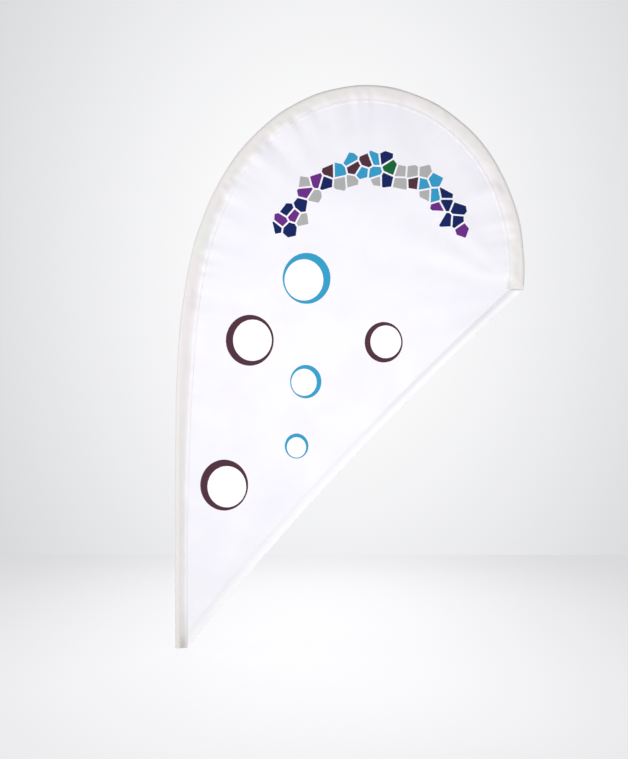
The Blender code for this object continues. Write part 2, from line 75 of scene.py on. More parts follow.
# %% [markdown]
# ## The view
# A flag like this is shown square on, from far enough away that its pole and its slanted edge stay
# undistorted. So the camera stands eight metres off with a long lens, level with the flag's middle.

# %% Camera
camera = bpy.data.objects.new("camera", bpy.data.cameras.new("camera"))
bpy.context.scene.collection.objects.link(camera)
camera.location = (0.4813, -8.0, 0.9465)
camera.rotation_euler = (math.radians(90), 0, 0)
camera.data.lens = 106.7
camera.data.sensor_width = 36
bpy.context.scene.camera = camera
bpy.context.scene.view_settings.view_transform = "Standard"

# %% [markdown]
# ## Colours and nodes
# Paint and dye are named in sRGB hex, as on a print order, but a shader works with linear light.
# One function turns the one into the other. Two more add a node and fill its sockets, so that a
# material below reads as a recipe: each call is one node, what is plugged in, and its settings.


# %% Colour and node helpers
WAVE_PERIOD = 0.314  # how far apart a wave texture of scale 1 draws its lines, in metres


def linear(code):
    """sRGB hex to linear: c / 12.92 up to 0.04045, and ((c + 0.055) / 1.055) to the 2.4 above."""
    c = np.array([int(code[k : k + 2], 16) for k in (1, 3, 5)]) / 255
    return (*np.where(c <= 0.04045, c / 12.92, ((c + 0.055) / 1.055) ** 2.4), 1.0)


def plug(node, values):
    """Fills each named or numbered socket of a node: with a number or colour, or with a link from
    another node's socket. A whole node stands for its first output that is in use."""
    for socket, value in values.items():
        if isinstance(value, bpy.types.Node):
            value = next(output for output in value.outputs if output.enabled)
        if isinstance(value, bpy.types.NodeSocket):
            node.id_data.links.new(value, node.inputs[socket])
        else:
            node.inputs[socket].default_value = value


def add(tree, kind, values=None, **settings):
    """Adds a node, sets its own settings, and fills its sockets."""
    made = tree.nodes.new("ShaderNode" + kind)
    for name, value in settings.items():
        setattr(made, name, value)
    plug(made, values or {})
    return made


def new_material(name):
    """An empty node material: its tree, and its principled shader."""
    made = bpy.data.materials.new(name)
    made.use_nodes = True
    return made, made.node_tree, made.node_tree.nodes["Principled BSDF"]


# %% [markdown]
# ## Grids of points
# Nearly every surface here is worked out as one array of points in rows and columns, by a formula
# of two parameters. One function turns such an array into a mesh, and another into an object. The
# rest are small steps that many pieces share.


# %% Meshes from grids of points
def grid_faces(rows, columns, ring):
    """Each face joins four neighbours of a grid of points that are numbered row by row, and a ring
    also joins its last column to its first."""
    i, j = np.meshgrid(np.arange(rows - 1), np.arange(columns - (not ring)), indexing="ij")
    k = (j + 1) % columns
    near, far = i * columns, (i + 1) * columns
    return np.stack([near + j, near + k, far + k, far + j], -1).reshape(-1, 4)


def grid_mesh(name, points, uv=None, ring=False, leave_out=None):
    """A mesh from points in rows and columns, with its own map in metres if uv gives it. Faces
    whose middles leave_out picks are left out."""
    faces = grid_faces(*points.shape[:2], ring)
    flat = points.reshape(-1, 3)
    if leave_out is not None:
        faces = faces[~leave_out(flat[faces].mean(axis=1))]
    mesh = bpy.data.meshes.new(name)
    mesh.from_pydata(flat, [], faces.tolist())
    if uv is not None:
        layer = mesh.uv_layers.new(name="metres")
        layer.data.foreach_set("uv", uv.reshape(-1, 2)[faces.ravel()].astype(np.float32).ravel())
    return mesh


def piece(name, mesh, *materials, weld=True):
    """An object for a mesh, smooth but for edges sharper than 40 degrees, with its materials.
    Welding joins points that fall together, and turns a closed shape's faces outwards."""
    if weld:
        work = bmesh.new()
        work.from_mesh(mesh)
        bmesh.ops.remove_doubles(work, verts=work.verts, dist=1e-6)
        if all(edge.is_manifold for edge in work.edges):
            bmesh.ops.recalc_face_normals(work, faces=work.faces)
        work.to_mesh(mesh)
        work.free()
    mesh.shade_smooth()
    mesh.set_sharp_from_angle(angle=math.radians(40))
    made = bpy.data.objects.new(name, mesh)
    bpy.context.scene.collection.objects.link(made)
    for material in materials:
        mesh.materials.append(material)
    return made


def grid_piece(name, points, *materials, weld=False, **grid):
    """A piece whose mesh is a grid of points. It is one sheet, so it has no doubles to weld unless
    it closes on itself."""
    return piece(name, grid_mesh(name, points, **grid), *materials, weld=weld)


def stand_in(made, body, node):
    """The piece moves with a body, and is shown in place of a CAD node."""
    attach(made, body)
    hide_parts(node)


def thicken(made, thickness, back=0):
    """Gives a surface the thickness of its cloth, half to each side, and its back's material."""
    ply = made.modifiers.new("ply", "SOLIDIFY")
    ply.thickness, ply.offset, ply.material_offset = thickness, 0.0, back


def unit(vectors):
    """The same directions at length 1."""
    return vectors / np.linalg.norm(vectors, axis=-1, keepdims=True)


def run_length(points):
    """The distance along each line of points, from 0 at its start."""
    steps = np.linalg.norm(np.diff(points, axis=-2), axis=-1)
    return np.insert(np.cumsum(steps, axis=-1), 0, 0.0, axis=-1)


# %% [markdown]
# ## The studio
# The flag stands on a plain, pale floor inside a large, plain dome, so that it can be seen from
# every side with nothing in the way. The dome glows with the even tone of a lit wall, lighter
# behind the flag and dimmer towards the corners. It is left out of the lighting itself, which
# comes from the lamps and the world, so the wall's tone and the cloth's shading can be set apart.

# %% Dome
FLOOR = CAD_BOX[0].z - 0.004


def dome_points(radius, rows, columns):
    """A sphere seen from inside: circles of latitude, turned so that the faces look inwards."""
    tilt = np.linspace(0, math.pi, rows)[:, None]
    turn = np.linspace(0, 2 * math.pi, columns, endpoint=False)[None]
    parts = (np.sin(tilt) * np.cos(turn), np.sin(tilt) * np.sin(turn), np.cos(tilt) + 0 * turn)
    return radius * np.stack(np.broadcast_arrays(*parts), -1)[:, ::-1]


def lit(tree, centre, reach, bright, dim):
    """Light of its own: bright at a centre, and smoothly dimmer up to reach from it, all round."""
    place = add(tree, "TexCoord").outputs["Object"]
    scale = {"Vector": place, "Location": centre, "Scale": reach}
    scaled = add(tree, "Mapping", scale, vector_type="TEXTURE")
    away = add(tree, "VectorMath", {0: scaled}, operation="LENGTH").outputs["Value"]
    share = add(tree, "MapRange", {"Value": away}, interpolation_type="SMOOTHSTEP")
    tone = add(tree, "Mix", {0: share, 6: linear(bright), 7: linear(dim)}, data_type="RGBA")
    return add(tree, "Emission", {"Color": tone})


lit_wall, tree, shader = new_material("lit_studio_wall")
glow = lit(tree, (0.60, 13.0, 2.0), (5.6, 9.0, 7.6), "#FEFEFF", "#C6C7CA")
plug(tree.nodes["Material Output"], {"Surface": glow})
dome = grid_piece("dome", dome_points(13.0, 33, 64), lit_wall, ring=True)
dome.visible_diffuse = dome.visible_glossy = dome.visible_shadow = False

# %% [markdown]
# ## The floor
# The floor is a sheet of white paper that is itself flooded with light, so that an object on it
# throws hardly any shadow. Lighting that evenly takes a wall of lamps, so most of the paper's tone
# is a glow of its own here, brightest under the flag, and a small share of plain grey paint is
# added to it, which takes just the faint shadow at the foot. It does light the cloth, as real paper
# would, so the flag is brightest low down.


# %% Floor
def floor_points(wide, deep, level):
    """A flat grid of four corners, facing up: wide and deep are half its width and depth about
    the flag's middle."""
    x, y = np.meshgrid((0.45 - wide, 0.45 + wide), (-deep, deep))
    return np.stack([x, y, np.full_like(x, level)], -1)[::-1]


paper, tree, shader = new_material("seamless_paper_floor")
glow = lit(tree, (0.45, 0.6, FLOOR), (1.9, 9.0, 1.0), "#F5F5F6", "#D4D4D7")
plug(shader, {"Base Color": linear("#626264"), "Roughness": 0.9, "Specular IOR Level": 0.0})
both = add(tree, "AddShader", {0: glow, 1: shader})
plug(tree.nodes["Material Output"], {"Surface": both})
floor = grid_piece("floor", floor_points(wide=11.8, deep=4.29, level=FLOOR), paper)

# %% [markdown]
# ## The lamps
# Cloth looks like cloth when a broad light skims it: puckers and seams then have a bright and a
# dim side. The main lamp stands on the right, level with the flag's middle, so the cloth is
# brightest there and dims towards the crown. One on the left lights the folds from the side, one
# behind lights the flag's back, and the world's even grey stands for the white room around.


# %% Lamps and world
def soft_lamp(name, place, target, size, power, spread):
    """A square area lamp that faces its target, and isn't itself in view. A grid on its front keeps
    its light within spread degrees."""
    lamp = bpy.data.lights.new(name, "AREA")
    lamp.size, lamp.energy, lamp.spread = size, power, math.radians(spread)
    made = bpy.data.objects.new(name, lamp)
    made.location = place
    made.rotation_mode = "QUATERNION"
    made.rotation_quaternion = (Vector(target) - Vector(place)).to_track_quat("-Z", "Y")
    made.visible_camera = False
    bpy.context.scene.collection.objects.link(made)


soft_lamp("main_lamp", (0.9, -3.0, 1.10), (0.6, 0.0, 1.3), 1.3, 14.4, 100)
soft_lamp("left_lamp", (-3.2, -1.7, 1.3), (0.45, 0.0, 1.0), 1.4, 20, 120)
soft_lamp("back_lamp", (0.5, 4.4, 2.4), (0.45, 0.0, 1.2), 1.6, 25, 100)
world = bpy.data.worlds.new("white_room")
bpy.context.scene.world = world
world.use_nodes = True
plug(world.node_tree.nodes["Background"], {"Color": linear("#F6F6FA"), "Strength": 0.36})

# %% [markdown]
# ## The pole's line
# Everything soft hangs on one curve, the middle of the bent pole. A rod that is bent by the cloth
# is straight where it is stiff, near the foot, and curves most at the crown. So the curve is
# described by how sharply it turns along its length, and its place is found by adding that up
# twice, which keeps its length true. These are the sizes that the CAD source gives it.

# %% The pole's line
RUN = 3.330
TURN = math.radians(184.7)
BEND = ((0.0, 0.0), (0.176, 0.0), (0.320, 0.133), (0.695, 1.0), (1.0, 0.523))
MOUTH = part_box("pole_sleeve")[0].z

fine = np.linspace(0.0, RUN, 4001)
sharpness = np.interp(fine / RUN, *zip(*BEND))
turned = np.concatenate([[0.0], np.cumsum((sharpness[1:] + sharpness[:-1]) / 2)])
HEADING = turned / turned[-1] * TURN
middle = (HEADING[1:] + HEADING[:-1]) / 2
LINE_X = np.concatenate([[0.0], np.cumsum(np.sin(middle))]) * fine[1]
LINE_Z = np.concatenate([[0.0], np.cumsum(np.cos(middle))]) * fine[1]


def along_pole(s):
    """The pole's middle at arc length s, its direction there, and the way outwards from the panel.
    Below the foot and past the end the line goes straight on."""
    s = np.asarray(s, float)
    h = np.interp(s, fine, HEADING)
    beyond = np.minimum(s, 0.0) + np.maximum(s - RUN, 0.0)
    x = np.interp(s, fine, LINE_X) + beyond * np.sin(h)
    z = np.interp(s, fine, LINE_Z) + beyond * np.cos(h)
    zero = np.zeros_like(x)
    centre = np.stack([x, zero, z], -1)
    return centre, np.stack([np.sin(h), zero, np.cos(h)], -1), np.stack([-np.cos(h), zero, np.sin(h)], -1)


# %% [markdown]
# ## Room in the sleeve
# The sleeve has to clear the pole and each joint's ferrule, so its bulge gets slimmer in steps from
# the foot to the tip. The widest round piece in each stretch says how big the bulge is, and the CAD
# nodes' boxes give that. The face, from the outer fold to the sewn lip, widens above the foot.

# %% Sleeve sizes along the run
POLE_LENGTH = RUN - 0.030
JOINTS = [POLE_LENGTH * k / 4 for k in (1, 2, 3)]
CLOTH = 0.0007  # thickness of the sleeve's and the hem's cloth
SLACK = 0.0003  # room between the cloth and what is inside it
PLY = 0.00095  # height of the sewn cloth off the mid-plane, with the panel between
LAP = 0.012  # width of the sewn lip


def half_depth(node):
    """Half of a node's depth, which is the radius of a round piece on the pole."""
    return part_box(node)[1].y


foot_bulge = -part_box("pole_sleeve")[0].x
ROOM = [(MOUTH, foot_bulge), (JOINTS[0], foot_bulge)]
for k in (1, 2):
    radius = half_depth(f"ferrule_{k + 1}") + SLACK + CLOTH
    ROOM += [(JOINTS[k] - 0.032, radius), (JOINTS[k], radius)]
pocket = half_depth("tip_pocket") + SLACK + CLOTH
ROOM += [(POLE_LENGTH - 0.059, pocket), (RUN, pocket)]


def smooth(t):
    """0 to 1 as t goes from 0 to 1, level at both ends."""
    t = np.clip(t, 0.0, 1.0)
    return t * t * (3 - 2 * t)


def bulge(s):
    """Radius of the middle of the sleeve's cloth round the pole."""
    return np.interp(s, *zip(*ROOM)) - CLOTH / 2


def lip(s):
    """Distance from the pole's middle to the sleeve's lip: the face's width less the bulge."""
    return 0.043 + 0.017 * smooth((s / RUN - 0.10) / 0.24) - np.interp(s, *zip(*ROOM))


print("bulge (mm)", (bulge(np.array([0, *JOINTS, RUN])) * 1000).round(2))

# %% [markdown]
# ## How the cloth puckers
# A curved sleeve is sewn to a flat panel by easing the longer edge into the shorter one, so the
# seam gathers into small waves that die out within a hand's width. Where the pole pulls a corner,
# shallow folds fan out from it, and the hem's double cloth leaves a shallow trough beside it. Every
# cloth piece reads this one height field, so the plies move together and stay clear of each other.


# %% Height of the cloth
def waves(s, longest, shortest, seed, count=9):
    """Smooth unevenness along s: a sum of sines with wavelengths from longest to shortest and
    seeded starts, divided by the root of their number."""
    lengths = np.geomspace(longest, shortest, count)
    start = np.random.default_rng(seed).uniform(0, 2 * math.pi, count)
    return np.sin(2 * math.pi * s[..., None] / lengths + start).sum(-1) / math.sqrt(count)


def seam_place(points):
    """(s, d) of points in the panel: the arc length of the pole's nearest point, and the distance
    from it."""
    s = np.linspace(MOUTH, RUN, 1400)
    line = along_pole(s)[0][:, [0, 2]]
    flat = points[..., [0, 2]].reshape(-1, 2)
    gap = ((flat**2).sum(1)[:, None] + (line**2).sum(1)[None] - 2 * flat @ line.T).clip(0)
    nearest = gap.argmin(axis=1)
    distance = np.sqrt(gap[np.arange(len(flat)), nearest])
    return s[nearest].reshape(points.shape[:-1]), distance.reshape(points.shape[:-1])


def gather(s):
    """How hard the seam is eased: little up the straight foot, most round the crown."""
    return 0.30 + 0.70 * smooth((s - 0.7) / 0.9)


def seam_height(s, d):
    """Height of the gathers: waves along the seam, rising from the bulge to the lip, and dying out
    over a hand's width, the short ones first."""
    past = np.maximum(d - lip(s), 0.0)
    rise = smooth((d - 0.008) / 0.030)
    short = waves(s, 0.10, 0.040, 3) * np.exp(-past / 0.034) * 0.0015
    long = waves(s, 0.30, 0.11, 4) * np.exp(-past / 0.080) * 0.0036
    return (short + long) * rise * gather(s)


# %% [markdown]
# ## The slanted edge
# The free edge runs from the fly corner to the mouth. It is cut as a shallow hollow, because a
# hollow edge stays taut under tension while a straight one flaps. So it is an arc of a circle.

# %% The slanted edge
HEM_WIDTH = 0.034
HEM_RUN = 1.75  # the slanted edge's length, as a round figure for its waves and its map
CORNER_ROUND = 0.012
SAG = 0.035


def circle_through(start, end, sag):
    """Centre and radius of the arc from start to end that bows sag to the left."""
    chord = end - start
    half = np.linalg.norm(chord) / 2
    radius = (half * half + sag * sag) / (2 * sag)
    return (start + end) / 2 - np.array([-chord[1], chord[0]]) / (2 * half) * (radius - sag), radius


def meet_circle(centre, radius, point, way):
    """The first place where the line from point along way meets the circle."""
    way = way / np.linalg.norm(way)
    b = (point - centre) @ way
    root = math.sqrt(b * b - (point - centre) @ (point - centre) + radius * radius)
    return point + way * min(t for t in (-b - root, -b + root) if t > -1e-9)


def arc_between(centre, start, end, share):
    """Points at shares of the way from start to end, round centre."""
    first, last = (math.atan2(*(p - centre)[::-1]) for p in (start, end))
    turn = (last - first + math.pi) % (2 * math.pi) - math.pi
    radii = [np.linalg.norm(p - centre) for p in (start, end)]
    a = first + turn * share
    return centre + (radii[0] + (radii[1] - radii[0]) * share)[:, None] * np.stack([np.cos(a), np.sin(a)], -1)


end_centre, end_way, end_out = (v[[0, 2]] for v in along_pole(RUN))
FLY = end_centre + end_out * pocket + end_way * SLACK
CORNER = np.array([lip(MOUTH) + SLACK, MOUTH])
HEM_CENTRE, HEM_RADIUS = circle_through(CORNER, FLY, SAG)
print("fly corner", FLY.round(4), "mouth corner", CORNER.round(4), "hem radius", round(HEM_RADIUS, 3))


# %% Height of the whole cloth
def edge_place(points):
    """(share, e): how far along the slanted edge a point lies, and how far inside it."""
    rel = points[..., [0, 2]] - HEM_CENTRE
    a = np.arctan2(rel[..., 1], rel[..., 0])
    first, last = (math.atan2(*(p - HEM_CENTRE)[::-1]) for p in (FLY, CORNER))
    return (a - first) / (last - first), np.linalg.norm(rel, axis=-1) - HEM_RADIUS


def fan(points, corner, reach, folds, seed):
    """Folds that spread from a corner: waves by bearing, highest at reach and fading beyond it."""
    rel = points[..., [0, 2]] - corner
    r = np.linalg.norm(rel, axis=-1)
    bearing = np.arctan2(rel[..., 1], rel[..., 0])
    return waves(bearing, 2 * math.pi / folds, math.pi / folds, seed, 4) * r / reach * np.exp(1 - r / reach)


def height(points):
    """Height of the cloth off its plane: the gathers, the fans from both pulled corners, the
    trough beside the hem with the hem's own slow wave, and a soft billow in the middle."""
    s, d = seam_place(points)
    share, e = edge_place(points)
    inside = smooth((d - 0.05) / 0.20)
    fans = fan(points, FLY, 0.24, 9, 11) * 0.0022 + fan(points, CORNER, 0.30, 13, 12) * 0.0018
    trough = -np.exp(-(((e - 0.046) / 0.013) ** 2)) * (0.0022 + 0.0008 * waves(share * HEM_RUN, 0.6, 0.2, 6))
    wave = waves(share * HEM_RUN, 0.80, 0.30, 7) * np.exp(-np.maximum(e, 0.0) / 0.12) * 0.0018
    ends = smooth(share / 0.08) * smooth((1 - share) / 0.06)
    billow = smooth(d / 0.45) * smooth(e / 0.40) * 0.006
    return seam_height(s, d) + inside * fans + (trough + wave) * ends * smooth((d - 0.02) / 0.08) - billow


# %% [markdown]
# ## Polyester flag cloth
# The panel is a light warp-knitted polyester, printed by sublimation: the dye sinks into the
# threads, so the print has no thickness and no gloss, and shows through paler on the back. The
# knit's ribs are about half a millimetre apart, far too fine to see, so they are drawn at 2.4 mm.
# The pattern is drawn flat in metres: rings, each between two offset ellipses, and a mosaic arch.

# %% The print's sizes and colours
SKY, PLUM = "#319DC6", "#502E3C"
# centre x, z, half width, where the thick side is (unit x, z), colour
RINGS = (
    (0.455, 1.306, 0.085, (1.0, 0.6), SKY),
    (0.253, 1.086, 0.085, (-1.0, 0.0), PLUM),
    (0.729, 1.079, 0.0675, (-1.0, -0.2), PLUM),
    (0.452, 0.939, 0.0557, (1.0, 0.4), SKY),
    (0.4195, 0.710, 0.042, (0.1, 1.0), SKY),
    (0.162, 0.571, 0.085, (-1.0, 0.6), PLUM),
)
RING_HEIGHT = 1.065
RING_HOLE = 0.81
RING_SHIFT = 0.11
ARCH_CENTRE, ARCH_RADIUS, ARCH_HALF_WIDTH, ARCH_FOOT = (0.69, 1.36), 0.335, 0.046, 0.11
TILE, GROUT, UNEVEN = 0.043, 0.0062, 0.62
# share of the tiles up to which each colour goes
TILES = (
    (0.00, "#0B1F5E"), (0.25, "#329CC8"), (0.47, "#B0B0B0"), (0.67, "#6B2A85"), (0.79, "#502E3C"),
    (0.89, "#0C6633"), (0.98, "#8CC63F"),
)


# %% The print, as nodes
def ellipse(tree, flat, centre, half_width, half_height):
    """1 inside an ellipse and 0 outside: the length of the place in ellipse radii is under 1."""
    scaled = add(
        tree,
        "Mapping",
        {"Vector": flat, "Location": (*centre, 0.0), "Scale": (half_width, half_height, 1.0)},
        vector_type="TEXTURE",
    )
    reach = add(tree, "VectorMath", {0: scaled}, operation="LENGTH")
    return add(tree, "Math", {0: reach.outputs["Value"], 1: 1.0}, operation="LESS_THAN")


def mosaic(tree, flat):
    """(mask, colour) of the arch: a tile is a Voronoi cell, the grout is what lies near a cell's
    edge, and a whole cell is kept when its middle lies in the arch's band and above its foot."""
    cell = {"Vector": flat, "Scale": 1 / TILE, "Randomness": UNEVEN}
    tile = add(tree, "TexVoronoi", cell, voronoi_dimensions="2D", feature="F1")
    edge = add(tree, "TexVoronoi", cell, voronoi_dimensions="2D", feature="DISTANCE_TO_EDGE")
    away = add(
        tree, "VectorMath", {0: tile.outputs["Position"], 1: (*ARCH_CENTRE, 0.0)}, operation="SUBTRACT"
    )
    reach = add(tree, "VectorMath", {0: away}, operation="LENGTH").outputs["Value"]
    off = add(tree, "Math", {0: reach, 1: ARCH_RADIUS, 2: ARCH_HALF_WIDTH}, operation="COMPARE")
    up = add(tree, "SeparateXYZ", {0: away}).outputs["Y"]
    above = add(tree, "Math", {0: up, 1: ARCH_FOOT}, operation="GREATER_THAN")
    solid = add(tree, "Math", {0: edge.outputs["Distance"], 1: GROUT / TILE / 2}, operation="GREATER_THAN")
    band = add(tree, "Math", {0: off, 1: above}, operation="MULTIPLY")
    mask = add(tree, "Math", {0: band, 1: solid}, operation="MULTIPLY")
    pick = add(tree, "SeparateColor", {0: tile.outputs["Color"]})
    dye = add(tree, "ValToRGB", {"Fac": pick})
    dye.color_ramp.interpolation = "CONSTANT"
    for k, (share, code) in enumerate(TILES):
        stop = dye.color_ramp.elements[k] if k < 2 else dye.color_ramp.elements.new(share)
        stop.position, stop.color = share, linear(code)
    return mask, dye.outputs["Color"]


def weave(shader, colour, place, scales, distortion, darkest, strength, depth):
    """Draws two crossing sets of threads over a colour, as tone and as height. Returns the node
    whose first input is the cloth's colour."""
    tree = shader.id_data
    lines = {"Vector": place, "Distortion": distortion}
    warp = add(tree, "TexWave", {**lines, "Scale": scales[0]}).outputs["Fac"]
    weft = add(tree, "TexWave", {**lines, "Scale": scales[1]}, bands_direction="Y").outputs["Fac"]
    threads = add(tree, "Math", {0: warp, 1: weft}, operation="MULTIPLY")
    shade = add(tree, "MapRange", {"Value": threads, "To Min": darkest, "To Max": 1.0})
    cloth = add(tree, "VectorMath", {0: colour, "Scale": shade}, operation="SCALE")
    bump = add(tree, "Bump", {"Height": threads, "Strength": strength, "Distance": depth})
    plug(shader, {"Base Color": cloth, "Normal": bump})
    return cloth


def flag_cloth(name, dye_share):
    """Knitted polyester with the print in it. dye_share is how much of the dye shows."""
    made, tree, shader = new_material(name)
    place = add(tree, "TexCoord").outputs["Object"]
    parts = add(tree, "SeparateXYZ", {0: place})
    flat = add(tree, "CombineXYZ", {0: parts.outputs["X"], 1: parts.outputs["Z"]})
    # slow unevenness of the white, about a hand wide, as in cloth that has been folded and ironed
    cloudy = add(tree, "TexNoise", {"Vector": flat, "Scale": 7.0, "Detail": 3.0})
    colour = add(
        tree, "Mix", {0: cloudy.outputs["Fac"], 6: linear("#F1EFF7"), 7: linear("#FCFBFE")}, data_type="RGBA"
    )
    for x, z, size, (dx, dz), code in RINGS:
        outer = ellipse(tree, flat, (x, z), size, size * RING_HEIGHT)
        hole = RING_HOLE * size
        centre = (x - dx * RING_SHIFT * size, z - dz * RING_SHIFT * size)
        inner = ellipse(tree, flat, centre, hole, hole * RING_HEIGHT)
        ring = add(tree, "Mix", {0: outer, 6: colour, 7: linear(code)}, data_type="RGBA")
        hollow = {0: inner, 6: ring, 7: linear("#FFFFFF")}
        colour = add(tree, "Mix", hollow, data_type="RGBA")
    mask, dye = mosaic(tree, flat)
    dyed = add(tree, "Mix", {0: mask, 6: colour, 7: dye}, data_type="RGBA")
    faded = add(tree, "Mix", {0: dye_share, 6: linear("#F5F4F9"), 7: dyed}, data_type="RGBA")
    scales = (WAVE_PERIOD / 0.0024, WAVE_PERIOD / 0.0032)
    weave(shader, faded, flat, scales, 0.6, 0.955, 0.35, 0.0004)
    plug(shader, {"Roughness": 0.85, "Specular IOR Level": 0.2})
    plug(shader, {"Sheen Weight": 0.06, "Sheen Roughness": 0.45})
    return made


printed = flag_cloth("sublimation_printed_knit_polyester", 1.0)
reverse = flag_cloth("knit_polyester_print_showing_through", 0.72)
print("print: rings", len(RINGS), "tile colours", len(TILES))

# %% [markdown]
# ## The panel
# The panel is ruled between two curves: the seam inside the sleeve's lips, and the slanted edge
# inside the hem. Straight rulings from one to the other cover the whole teardrop with a grid whose
# lines meet both edges, which is what gathers along a seam need. The grid is lifted by the height
# field, and given the cloth's thickness and its paler back.


# %% The panel
def panel_points(rows, columns):
    """Rulings: row u starts on the seam at a share of the run and ends at the same share of the
    slanted edge, and columns run between them, closer together near the seam."""
    inset = PLY + CLOTH
    u = np.linspace(0.0, 1.0, rows)
    low = MOUTH + inset + CORNER_ROUND
    s = low + (RUN - low) * u
    centre, _, outward = along_pole(s)
    seam = centre - outward * (lip(s) - LAP + 0.002)[:, None]
    top = meet_circle(HEM_CENTRE, HEM_RADIUS + inset, FLY + end_way * inset, -end_out)
    foot = meet_circle(HEM_CENTRE, HEM_RADIUS + inset, seam[0, [0, 2]], np.array([1.0, 0.0]))
    edge = arc_between(HEM_CENTRE, foot, top, u**0.9)
    edge = np.stack([edge[:, 0], np.zeros(rows), edge[:, 1]], -1)
    v = np.linspace(0.0, 1.0, columns) ** 1.25
    return seam[:, None] + (edge - seam)[:, None] * v[None, :, None]


PANEL_CLOTH = 0.0006
flat_panel = panel_points(301, 121)
lifted = flat_panel.copy()
lifted[..., 1] = height(flat_panel)
panel_cut = grid_mesh("panel_cut", flat_panel)
panel = grid_piece("flag_panel_cloth", lifted, printed, reverse)
thicken(panel, PANEL_CLOTH, back=1)
stand_in(panel, "flag", "flag_panel")
heights = lifted[..., 1] * 1000

# %% [markdown]
# ## Woven cloths
# The sleeve takes the pole's rubbing, so it is a heavier woven polyester in a slightly warmer,
# greyer white. Its threads are 0.35 mm apart and drawn at 2 mm, in the diagonal steps of a twill.
# The hem's cloth is plain and white, and the webbing is thick and coarse. A cloth that follows a
# curve has its weave drawn on the piece's own map in metres, with its lengthwise direction first.


# %% Weave
WEFT_PERIOD = 0.22  # the same for the threads across, which lie wider apart


def woven(name, light, dark, spacing, diagonal, depth):
    """A woven cloth on its own map: two sets of threads, turned by diagonal, over a cloudy tone.
    Returns the material, its tree, and the node whose first input is the cloth's colour."""
    made, tree, shader = new_material(name)
    own = add(tree, "UVMap", uv_map="metres")
    turned_map = add(tree, "Mapping", {"Vector": own, "Rotation": (0.0, 0.0, diagonal)})
    place = add(tree, "TexCoord").outputs["Object"]
    noise = {"Vector": place, "Scale": 16.0, "Detail": 4.0}
    cloudy = add(tree, "TexNoise", noise, label="cloudy").outputs["Fac"]
    colour = {0: cloudy, 6: linear(dark), 7: linear(light)}
    colour = add(tree, "Mix", colour, data_type="RGBA")
    scales = (WAVE_PERIOD / spacing, WEFT_PERIOD / spacing)
    cloth = weave(shader, colour, turned_map, scales, 0.8, 0.95, 0.5, depth)
    plug(shader, {"Roughness": 0.88, "Specular IOR Level": 0.3})
    plug(shader, {"Sheen Weight": 0.15, "Sheen Roughness": 0.5})
    return made, tree, cloth


plain, tree, hem_cloth = woven("plain_woven_hem_binding", "#FFFFFF", "#F8F7FB", 0.0018, 0.0, 0.0003)
webbing, tree, cloth = woven("polyester_webbing", "#DCD9D5", "#C8C4BF", 0.0026, 0.0, 0.0006)
twill, tree, cloth = woven("twill_polyester_sleeve", "#FCFAFC", "#F4F1F5", 0.0020, math.radians(35), 0.0004)

# %% [markdown]
# ## Painted shade on the sleeve and the hem
# The sleeve's round outer fold turns away from the lamps, and its shade is painted into the cloth's
# colour: greyest at the fold, clearing to its own white towards the seam. More painted shade greys
# its mouth and the fly corner, and a darker painted shadow lies in the sag at the mouth. The shade is
# worked out on the sleeve's map: X is the length along the pole, and Y the distance round from the fold.


# %% Painted shade
def on_the_map(tree):
    """On a piece's own map, the length along it and the distance round from its fold."""
    own = add(tree, "SeparateXYZ", {0: add(tree, "UVMap", uv_map="metres")})
    return own.outputs["X"], add(tree, "Math", {0: own.outputs["Y"]}, operation="ABSOLUTE")


# tree and cloth are the twill's here
along, from_fold = on_the_map(tree)
widening = {"Value": along, "From Min": 0.3, "From Max": 1.1, "To Max": 0.017}
shifted = {0: from_fold, 1: add(tree, "MapRange", widening)}
shifted = add(tree, "Math", shifted, operation="SUBTRACT")
cloudy = next(node for node in tree.nodes if node.label == "cloudy").outputs["Fac"]
uneven = add(tree, "Math", {0: cloudy, 1: 0.014, 2: shifted}, operation="MULTIPLY_ADD")
# painted shadow: darker in the sag between the pole and the seam, in the lowest hand's width
off_sag = add(tree, "Math", {0: from_fold, 1: 0.036}, operation="SUBTRACT")
off_sag = add(tree, "Math", {0: off_sag}, operation="ABSOLUTE")
# painted shade on the hem: its double cloth is drawn white along its fold, which faces the light,
# and greyer towards its lip, most near the fly corner: its map starts in that corner
hem_tree = plain.node_tree
hem_along, from_hem_fold = on_the_map(hem_tree)
PAINTED_SHADE = (
    # name, tree, what it follows, from and to where (m), and how strong its painted shade is at each
    ("fold", tree, uneven, 0.024, 0.053, 1.0, 0.0),
    ("mouth", tree, along, 0.0, 0.16, 0.70, 0.0),
    ("fly", tree, along, RUN - 0.06, RUN - 0.01, 0.0, 0.6),
    ("low", tree, along, -0.004, 0.050, 0.55, 0.0),
    ("sag", tree, off_sag, 0.005, 0.019, 1.0, 0.0),
    ("hem lip", hem_tree, from_hem_fold, 0.012, 0.028, 0.0, 1.0),
    ("hem fly", hem_tree, hem_along, 0.2, 1.2, 0.9, 0.25),
)
painted_shade = {}
for name, of_tree, follows, start, end, first, last in PAINTED_SHADE:
    limits = {"Value": follows, "From Min": start, "From Max": end, "To Min": first, "To Max": last}
    painted_shade[name] = add(of_tree, "MapRange", limits, interpolation_type="SMOOTHSTEP")
# painted shade deepens at the mouth and in the fly corner
ends = add(tree, "Math", {0: painted_shade["mouth"], 1: painted_shade["fly"]}, operation="MAXIMUM")
grey = add(tree, "Math", {0: painted_shade["fold"], 1: ends}, operation="MAXIMUM")
